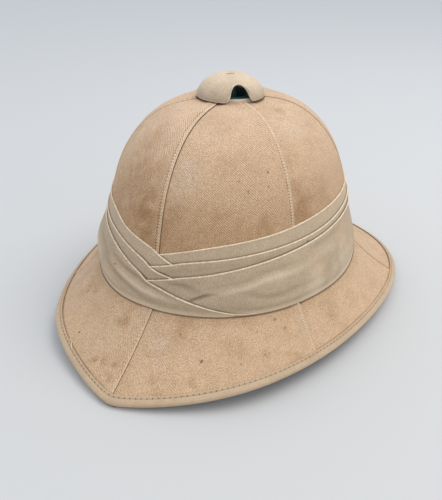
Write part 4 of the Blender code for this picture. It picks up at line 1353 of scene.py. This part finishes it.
def buildBand(plan, name, title, cover, node, field):
    # lays one fold on the relief and gives back the relief with it; the wrap has no cover, and a hem
    table = plan[title]
    first, last = table[0][0], table[-1][0]
    angles = np.arange(round(first / plan["step"]), round(last / plan["step"]) + 1) * plan["step"]
    columns = np.round(angles / plan["step"]).astype(int) % bandColumns
    top = curveThrough(table)(angles) * mm
    nose, clear = plan["nose"], plan["clear"]
    if cover:
        covers = heightsOfCover(plan[cover], angles)
        bottom = np.minimum(covers - plan["tuck"], top - plan["least"])
        shares = np.array(plan["foldRows"])[:, None]
    else:
        stand = curveThrough(table, 2)(angles) * mm
        foot = stand + plan["hemFlare"]
        bottom = brimHeight(angles, foot[None])[0] + plan["hemClear"] + plan["hem"]
        top = np.maximum(top, bottom + nose + plan["endLeast"])
        shares = np.linspace(0, 1, plan["wrapRows"])[:, None]
        shares = shares + plan["crowded"] * ((1 - np.cos(shares * np.pi)) / 2 - shares)
    heights = bottom + (top - nose - bottom) * shares
    around = np.repeat(angles[None], len(shares), 0)
    late, early = angles >= plan["late"], angles <= plan["early"]
    stands = np.zeros(heights.shape)
    backs = np.zeros((1, len(angles)))
    backHeights = (top - nose - plan["turnedIn"])[None]
    noseBase = np.zeros(len(angles))
    proud = np.zeros(heights.shape) if cover else creaseRelief(around, heights)

    def layFold(fieldUnder, chosen):
        soft = blurred(widened(fieldUnder, *plan["reach"]), *plan["soften"])
        soft = np.maximum(soft, blurred(fieldUnder, *plan["cling"]))
        base = readField(soft, columns[chosen][None], heights[:, chosen]) + clear
        below = (top - heights)[:, chosen]
        thinner, thinFrom, fullFrom = plan["thinner"]
        body = 2 * nose - thinner * ease(*thinFrom, below) * (1 - 0.5 * ease(*fullFrom, below))
        face = base + body
        if not cover:
            reach = np.minimum(top - bottom, plan["swell"])[chosen]
            swell = np.sin(np.clip(below / reach, 0, 1) * np.pi / 2)
            straight = plateau(angles, *plan["straight"])[chosen]
            swell = swell + straight * ((below / (top - bottom)[chosen]) ** 1.5 - swell)
            wanted = face * (1 - swell) + stand[chosen] * swell
            wanted = wanted + proud[:, chosen] * mm * ease(0, plan["creasesFrom"], below)
            low = 1 - ease(0, plan["flareOver"], heights[:, chosen] - bottom[chosen])
            wanted += plan["hemFlare"] * low * ease(0, plan["flareWhole"], (top - bottom)[chosen])
            face = np.maximum(wanted, face)
            face = face - (body + plan["sinkBy"]) * ease(*plan["sinks"], angles[chosen])
        stands[:, chosen] = face
        noseBase[chosen] = base[-1]
        backs[:, chosen] = readField(soft, columns[chosen][None], backHeights[:, chosen]) + clear

    layFold(field, ~late)
    ownStart = layOn(field, columns[early], heights[:, early], stands[:, early])
    layFold(ownStart, late)
    places = wallPoint(around, heights, stands)
    high, wide, near = plan["waver"]
    stands = stands + high * softNoise(places, wide, len(title)) * ease(0, near, top - heights)
    turns = np.radians(np.arange(30, 181, 30))[:, None]
    noseStands = noseBase + nose + nose * np.cos(turns)
    noseHeights = top - nose + nose * np.sin(turns)
    # how far each point is above the edge that lies over it
    over = heights - np.where(angles + 360 <= last, curveThrough(table)(angles + 360) * mm, 0)
    if cover:
        over = np.minimum(over, heights - covers)
    allStands, allHeights = [stands, noseStands, backs], [heights, noseHeights, backHeights]
    edgeRows = np.ones((len(turns) + 1, len(angles)))
    allOver, allProud = [over, edgeRows], [proud, 0 * edgeRows]
    if not cover:
        # the hem: turned under and back along the brim
        hem = plan["hem"]
        lowTurns = np.radians([-90, -60, -30])[:, None]
        hemStands = stands[0] - hem + hem * np.cos(lowTurns)
        hemHeights = heights[0] + hem * np.sin(lowTurns)
        innerStands = stands[0] - np.array(plan["hemIn"])[:, None] * mm
        innerStands = np.maximum(innerStands, plan["hemInmost"])
        innerHeights = brimHeight(angles, innerStands) + plan["hemClear"]
        allStands = [innerStands, hemStands] + allStands
        allHeights = [innerHeights, hemHeights] + allHeights
        hemRows = np.ones((len(innerStands) + len(hemStands), len(angles)))
        allOver, allProud = [hemRows] + allOver, [0 * hemRows] + allProud
    allStands, allHeights = np.concatenate(allStands, 0), np.concatenate(allHeights, 0)
    rounds = np.repeat(angles[None], len(allStands), 0)
    points = wallPoint(rounds, allHeights, allStands)
    up = lengths(points)
    tip = up[-2 - len(turns) // 2][None]                 # the top of the nose
    fromEdge = np.abs(tip - up)
    run = np.radians(rounds) * plan["mapRadius"]
    fromHem = np.ones(up.shape) if cover else up - up[3:4]
    maps = {
        "cloth": np.stack([run, up], -1),
        "seam": np.stack([fromEdge, run], -1),
        "edges": np.stack([fromHem, np.concatenate(allOver)], -1),
    }
    mesh = layGrid(name, points, maps)
    keepValues(mesh, "crease", -np.concatenate(allProud))
    piece = addPiece(name, mesh, pagri, "puggaree_cloth", node)
    addWall(piece, plan["wall"])
    return layOn(field, columns, heights, stands)


relief = np.zeros((bandColumns, len(bandHeights)))
for name, title, cover, node in (("foldUpper", "upper", "middle", "puggaree_fold_upper"),
                                 ("foldMiddle", "middle", "wrap", "puggaree_fold_middle"),
                                 ("wrapLower", "wrap", None, "puggaree_wrap_lower")):
    relief = buildBand(bandPiece, name, title, cover, node, relief)
print("puggaree made")

# the vent cap
capPiece = {
    "radius": 24.9 * mm,
    "middle": (-0.7 * mm, -1.5 * mm),    # it sits a little aside
    "rise": 16.7 * mm,
    "rimZ": 160.4 * mm,      # height of the rim above the table
    "roll": 0.85 * mm,       # radius of the rolled rim
    "wall": 0.45 * mm,
    "notches": (44, 224),
    "openBefore": (22, 30, 6 * mm),      # no shadow of the rim this near to a notch's middle (degrees)
    # half of a notch's outline: distance aside and height over the rim (mm)
    "notch": [(-12.0, 0.0), (-10.2, 0.4), (-8.7, 1.6), (-7.5, 3.9), (-6.5, 6.6), (-4.7, 9.7), (-2.4, 11.4),
              (0, 11.9)],
    "spacing": 0.55 * mm,    # between the columns
    "rows": 18,
    "crowded": 0.9,          # below 1 they lie closer at the top
    "rollRows": 0.16,        # the share of them over which the face leaves the roll
    "inside": (3.0, 1.5),    # rows of the cloth turned in behind the roll (mm)
    "topElevation": 89.9,
    "dimple": (2.6 * mm, 4.0 * mm, 0.9 * mm),    # deepest within, level beyond, how deep
    "ridge": (0.18 * mm, 0.8 * mm),              # round the dimple: how high, how wide
    "waver": (0.16 * mm, 9 * mm),
    "mapSpread": 1.15,       # the flat cloth against the cap seen from above
    "flatMore": 24 * mm,     # the cloth laid flat is this much wider than the cap
    "round": 0.785,          # share of a square that a round cloth fills
    "shellInset": 2.1 * mm,
    "shellUp": 1.2 * mm,     # its rim is this much higher than the cloth's
    "shellWall": 0.7 * mm,
}


def fromCapRim(plan, x, y):
    # how far outside the cap's rim a point lies; far off in front of its notches
    middleX, middleY = plan["middle"]
    turns = np.degrees(np.arctan2(y - middleY, x - middleX))
    outside = np.hypot(x - middleX, y - middleY) - plan["radius"]
    for centre in plan["notches"]:
        aside = np.abs((turns - centre + 180) % 360 - 180)
        near, far, away = plan["openBefore"]
        outside = outside + away * (1 - ease(near, far, aside))
    return outside


def measureFromHem(plan, cap):
    # on the gores: how far outside the puggaree's hem and the cap's rim each point lies
    turns = np.arange(0, 360, 1.0)
    stand = curveThrough(plan["wrap"], 2)
    foot = np.where(turns < 30, stand(turns + 360), stand(turns)) * mm + plan["hemFlare"]
    hemZ = brimHeight(turns, foot[None])[0]
    hem = wallPoint(turns, hemZ, foot)
    hemTurns, hemReach = np.degrees(np.arctan2(hem[:, 1], hem[:, 0])) % 360, np.hypot(hem[:, 0], hem[:, 1])
    order = np.argsort(hemTurns)
    for number in range(1, len(crownShape["seams"])):
        mesh = bpy.data.objects[f"coverPanel{number}"].data
        places = np.empty(len(mesh.vertices) * 3, np.float32)
        mesh.vertices.foreach_get("co", places)
        x, y, z = places.reshape(-1, 3).T
        reach = np.interp(np.degrees(np.arctan2(y, x)) % 360, hemTurns[order], hemReach[order], period=360)
        outside = np.where(z < 60 * mm, np.hypot(x, y) - reach, 1.0)
        outside = np.where(outside < -6 * mm, 1.0, outside)
        outside = np.where(z > 140 * mm, fromCapRim(cap, x, y), outside)
        keepValues(mesh, "fromHem", outside)


def capOutline(plan):
    # angle and height over the rim, all the way round
    half = np.array(plan["notch"], float)
    both = np.concatenate([half, half[-2::-1] * (-1, 1)])
    chord = np.hypot(*np.diff(both, axis=0).T).sum()
    notch, _ = sectionThrough(both, int(chord * mm / plan["spacing"]))
    heights = np.clip(notch[:, 1] * mm, 0, None)
    reach = plan["radius"] * np.sqrt(1 - (heights / plan["rise"]) ** 2)
    turns = np.degrees(np.arcsin(notch[:, 0] * mm / reach))
    outline = []
    gap = (180 - (turns[-1] - turns[0]))
    plain = int(math.radians(gap) * plan["radius"] / (2 * plan["spacing"]))
    for centre in plan["notches"]:
        outline += [(centre + turn, height) for turn, height in zip(turns, heights)]
        outline += [(centre + turns[-1] + gap * k / plain, 0.0) for k in range(1, plain)]
    outline.append((outline[0][0] + 360, outline[0][1]))
    return np.array(outline)


def capFacePoints(plan, angles, elevations, inset=0.0):
    e = np.radians(elevations)
    a = np.radians(angles)
    radius = (plan["radius"] - inset) * np.cos(e)
    near, far, depth = plan["dimple"]
    high, wide = plan["ridge"]
    dip = depth * (1 - ease(near, far, radius)) - high * bump(radius - far, wide)
    height = plan["rimZ"] + (plan["rise"] - inset) * np.sin(e) - dip
    middleX, middleY = plan["middle"]
    return np.stack([radius * np.cos(a) + middleX, radius * np.sin(a) + middleY, height], -1)


def buildCap(plan):
    outline = capOutline(plan)
    angles, lifts = outline[:, 0], outline[:, 1]
    rimElevation = np.degrees(np.arcsin(lifts / plan["rise"]))
    rim = capFacePoints(plan, angles, rimElevation)
    # which way the face looks at its rim, from points half a degree to each side and above and below
    east, west, above, below = [capFacePoints(plan, angles + turn, rimElevation + lift)
                                for turn, lift in ((0.5, 0), (-0.5, 0), (0, 0.5), (0, -0.5))]
    normal = unit(np.cross(east - west, above - below))
    tangent = unit(np.roll(rim[:-1], -1, 0) - np.roll(rim[:-1], 1, 0))
    tangent = np.concatenate([tangent, tangent[:1]])
    down = unit(np.cross(normal, tangent))
    down = np.where(down[:, 2:] > 0, -down, down)
    shares = np.linspace(0, 1, plan["rows"] + 1)[:, None] ** plan["crowded"]
    elevations = rimElevation + (plan["topElevation"] - rimElevation) * shares
    face = capFacePoints(plan, np.repeat(angles[None], len(shares), 0), elevations)
    face = face - (down * plan["roll"])[None] * (1 - ease(0, plan["rollRows"], shares))[..., None]
    high, wide = plan["waver"]
    face = face + high * softNoise(face, wide)[..., None] * normal[None]
    start = face[0]
    turns = np.radians([180, 150, 120, 90, 60, 30])[:, None, None]
    roll = start + down * plan["roll"] * np.sin(turns) + normal * plan["roll"] * (np.cos(turns) - 1)
    inner = start - normal * 2 * plan["roll"] - down * np.array(plan["inside"])[:, None, None] * mm
    points = np.concatenate([inner, roll, face])
    points[:, -1] = points[:, 0]
    flat = points[..., :2] * plan["mapSpread"]
    along = lengths(points)
    fromRoll = along - along[5:6]                        # from the roll's lowest line
    seam = np.stack([fromRoll, np.repeat(np.radians(angles)[None] * plan["radius"], len(points), 0)], -1)
    mesh = layGrid("ventCapCloth", points, {"cloth": flat, "seam": seam}, closedRound=True)
    piece = addPiece("ventCapCloth", mesh, capFace, "cap_cloth", "vent_cap")
    addWall(piece, plan["wall"])
    # painted metal shell inside the cloth
    inset = plan["shellInset"]
    around = np.repeat(angles[None], len(shares), 0)
    low = np.clip((lifts + plan["shellUp"]) / (plan["rise"] - inset), 0, 0.95)
    low = np.degrees(np.arcsin(low))
    shell = capFacePoints(plan, around, low + (plan["topElevation"] - low) * shares, inset)
    shell[:, -1] = shell[:, 0]
    mesh = layGrid("ventCapShell", shell, {"cloth": shell[..., :2]}, closedRound=True)
    lining = addPiece("ventCapShell", mesh, green, "dark_metal")
    addWall(lining, plan["shellWall"])


buildCap(capPiece)
measureFromHem(bandPiece, capPiece)

# the cover's cloth rolled up round the vent collar
holeRimPiece = {
    # radius and height above the table (mm), from the inner foot, over the roll, to the outer foot
    "section": [
        (18.2, 157.2), (18.2, 161.6), (18.5, 162.0), (19.0, 162.1), (19.5, 161.9), (19.8, 161.2),
        (20.2, 157.2),
    ],
    "mapRadius": 19.8 * mm,
    "steps": 96,
}


def buildHoleRim(plan):
    bm = bmesh.new()
    verts = [bm.verts.new((radius * mm + crownShape["lean"], 0, height * mm))
             for radius, height in plan["section"]]
    edges = [bm.edges.new(pair) for pair in zip(verts, verts[1:] + verts[:1])]
    bmesh.ops.spin(bm, geom=verts + edges, cent=(crownShape["lean"], 0, 0), axis=(0, 0, 1),
                   angle=2 * math.pi, steps=plan["steps"], use_merge=True)
    bmesh.ops.remove_doubles(bm, verts=bm.verts, dist=0.00001)
    bmesh.ops.recalc_face_normals(bm, faces=bm.faces)
    mesh = meshFrom(bm, "ventHoleRim")
    mesh.shade_smooth()
    layer = mesh.uv_layers.new(name="cloth")
    for loop in mesh.loops:
        place = mesh.vertices[loop.vertex_index].co
        layer.data[loop.index].uv = (math.atan2(place.y, place.x) * plan["mapRadius"], place.z)
    addPiece("ventHoleRim", mesh, capFace, "cap_cloth")


buildHoleRim(holeRimPiece)
print("vent made")

# the sewing threads
threadPiece = {
    "seamLong": 1.75 * mm,
    "seamSlant": 32,         # degrees that each stitch leans
    "seamThick": {54: 0.38 * mm, 360: 0.27 * mm},
    "plainThick": 0.30 * mm,
    "bare": (117, 306),      # seams whose thread has sunk in
    "sunkSeam": 360,         # the front seam's has sunk in a little low on the crown
    "sunkBelow": 116 * mm,
    "sunkThick": 0.72,
    "hidden": (42 * mm, 74 * mm),        # heights that the puggaree covers
    "underCap": 20 * mm,     # and this near to the middle they are under the cap
    "sunk": 0.8,             # the stitches lie this far down in the groove
    "wornBrim": (0.3, 0.4),  # size at the brim's edge, and how much more at the brim's start
    "tapeLong": 2.6 * mm,
    "tapeThick": 0.24 * mm,
    "tapeSlant": 4,
    "tapeLift": 0.95 * mm,
    "sides": 6,
    "rings": 4,
    # a stitch pulled out into a small loop: angle, share of the brim, height over the cloth (mm)
    "pulled": [(-21.2, 0.085, 0.7), (-20.8, 0.112, 1.9), (-20.2, 0.130, 2.6), (-19.6, 0.134, 2.8),
               (-19.0, 0.124, 2.6), (-18.5, 0.102, 2.1), (-18.0, 0.076, 1.2)],
    "pulledSteps": 25,
    "frayed": 22,            # short dark fibres under the tip
    "frayFrom": -4.5,        # degrees
    "frayOver": 6.5,
    "frayThick": 0.13 * mm,
    "frayLong": (1.5, 1.2),  # and by how much the length varies (mm)
    "frayOut": 1.5,          # where the fibres leave the tape: out from the edge, and down (mm)
    "frayDown": (3.0, 0.8),
    "fraySway": 2.2,
}


def addStitch(bm, place, way, up, long, thick, slant):
    way = Vector(way).normalized()
    up = Vector(up).normalized()
    way = Matrix.Rotation(math.radians(slant), 3, up) @ way
    side = way.cross(up).normalized()
    turn = Matrix((side, up, way)).transposed().to_4x4()
    size = Matrix.Diagonal((thick, thick * 0.8, long / 2, 1))
    bmesh.ops.create_uvsphere(bm, u_segments=threadPiece["sides"], v_segments=threadPiece["rings"], radius=1,
                              matrix=Matrix.Translation(Vector(place)) @ turn @ size)


def finishStitches(name, bm, material):
    mesh = meshFrom(bm, name)
    mesh.shade_smooth()
    addPiece(name, mesh, material, "binding_tape")


def sewSeams(plan):
    bm = bmesh.new()
    alongs = stepsUp(*gorePiece["rows"])
    pitch = gorePiece["stitchPitch"]
    coverFrom, coverTo = plan["hidden"]
    wornLeast, wornMore = plan["wornBrim"]
    for left, right in zip(crownShape["seams"], crownShape["seams"][1:]):
        spine = skin((left + right) / 2, alongs)
        run = lengths(spine)
        at = np.interp(np.arange(1, int(run[-1] / pitch)) * pitch, run, alongs)
        seam = skin(right, at)
        radius = np.hypot(seam[:, 0], seam[:, 1])
        width = np.radians(right - left) * radius
        inset = gorePiece["stitchIn"] * np.minimum(1, width / gorePiece["narrow"])
        angles = right - np.degrees(inset / radius)
        points, normals = skin(angles, at), skinNormal(angles, at)
        ahead = skin(angles, np.minimum(at + 0.01, 3)) - skin(angles, np.minimum(at + 0.01, 3) - 0.01)
        for point, normal, way, along in zip(points, normals, ahead, at):
            underCap = np.hypot(point[0], point[1]) < plan["underCap"]
            if coverFrom < point[2] < coverTo or underCap or right in plan["bare"]:
                continue
            lift = gorePiece["raise"] - gorePiece["groove"] * plan["sunk"]
            worn = 1 if along > 1 else wornLeast + wornMore * along
            thick = plan["seamThick"].get(right, plan["plainThick"])
            if right == plan["sunkSeam"] and coverTo < point[2] < plan["sunkBelow"]:
                thick *= plan["sunkThick"]
            addStitch(bm, point + normal * lift, way, normal, plan["seamLong"] * worn ** 0.5, thick * worn,
                      plan["seamSlant"])
    finishStitches("seamThreads", bm, seamThread)


def sewTape(plan):
    bm = bmesh.new()
    pitch = tapePiece["pitch"]
    count = round(tapeRun[-1] / pitch)
    inset = tapePiece["edge"] - tapePiece["stitchIn"]
    angles = np.interp(np.arange(count) * pitch, tapeRun, tapeAngles)
    alongs = inset / brimLength(angles)
    points, normals = skin(angles, alongs), skinNormal(angles, alongs)
    ahead = skin(angles + 0.3, alongs) - skin(angles - 0.3, alongs)
    for point, normal, way in zip(points, normals, ahead):
        addStitch(bm, point + normal * plan["tapeLift"], way, normal, plan["tapeLong"], plan["tapeThick"],
                  plan["tapeSlant"])
    finishStitches("tapeThreads", bm, tapeThread)


def pullLoop(plan):
    bm = bmesh.new()
    knots = [(i, *row) for i, row in enumerate(plan["pulled"])]
    at = np.linspace(0, len(knots) - 1, plan["pulledSteps"])
    angles, alongs, lifts = [curveThrough(knots, column)(at) for column in (1, 2, 3)]
    points = skin(angles, alongs) + skinNormal(angles, alongs) * lifts[:, None] * mm
    for point, after in zip(points, points[1:]):
        way = after - point
        addStitch(bm, (point + after) / 2, way, (0, 0, 1), 1.5 * np.linalg.norm(way), plan["tapeThick"], 0)
    finishStitches("pulledStitch", bm, seamThread)


def frayTip(plan):
    bm = bmesh.new()
    long, longer = plan["frayLong"]
    down, higher = plan["frayDown"]
    for i in range(plan["frayed"]):
        angle = np.array(plan["frayFrom"] + plan["frayOver"] * i / plan["frayed"])
        edge, up, out = edgeFrames(angle)
        sway = noise.noise(Vector((i * 1.7, 0, 0)))
        way = out + np.array([-out[1], out[0], 0]) * plan["fraySway"] * sway - up * (0.5 + sway)
        root = edge + out * plan["frayOut"] * mm - up * (down - higher * sway) * mm
        addStitch(bm, root, way, up, (long + longer * sway) * mm, plan["frayThick"], 0)
    finishStitches("tipFray", bm, frayThread)


sewSeams(threadPiece)
sewTape(threadPiece)
pullLoop(threadPiece)
frayTip(threadPiece)
print("threads sewn")

# the solids that keep their shape
for name in ("vent_collar", "vent_post"):
    solid = frame["nodes"][name]
    if not solid.material_slots:
        solid.data.materials.append(green)
    for place in solid.material_slots:
        place.material = green

# the floor and the light
studio = {
    "floor": 6.0,            # metres across
    "floorColour": (0.62, 0.61, 0.59),
    "aim": (0, 0, 0.08),     # the light points here
    "world": (0.80, 0.86, 0.95),
    "worldStrength": 1.05,
    "key": {"place": (-0.32, 0.62, 1.45), "size": 1.2, "power": 10.0, "colour": (1.0, 0.96, 0.9)},
}


def makeFloor(plan):
    bm = bmesh.new()
    bmesh.ops.create_grid(bm, x_segments=2, y_segments=2, size=plan["floor"] / 2)
    mesh = meshFrom(bm, "floor")
    floor = bpy.data.objects.new("floor", mesh)
    bpy.context.scene.collection.objects.link(floor)
    material = bpy.data.materials.new("floorPaint")
    material.use_nodes = True
    shader = material.node_tree.nodes["Principled BSDF"]
    shader.inputs["Base Color"].default_value = (*plan["floorColour"], 1)
    shader.inputs["Roughness"].default_value = 0.8
    mesh.materials.append(material)


def makeLights(plan):
    world = bpy.data.worlds.new("studio")
    world.use_nodes = True
    background = world.node_tree.nodes["Background"]
    background.inputs["Color"].default_value = (*plan["world"], 1)
    background.inputs["Strength"].default_value = plan["worldStrength"]
    bpy.context.scene.world = world
    key = plan["key"]
    data = bpy.data.lights.new("key", "AREA")
    data.shape = "DISK"
    data.size = key["size"]
    data.energy = key["power"]
    data.color = key["colour"]
    lamp = bpy.data.objects.new("key", data)
    lamp.location = key["place"]
    aim = Vector(plan["aim"]) - Vector(key["place"])
    lamp.rotation_euler = aim.to_track_quat("-Z", "Y").to_euler()
    bpy.context.scene.collection.objects.link(lamp)


makeFloor(studio)
makeLights(studio)
bpy.context.scene.view_settings.view_transform = "Standard"
print("floor and light placed")
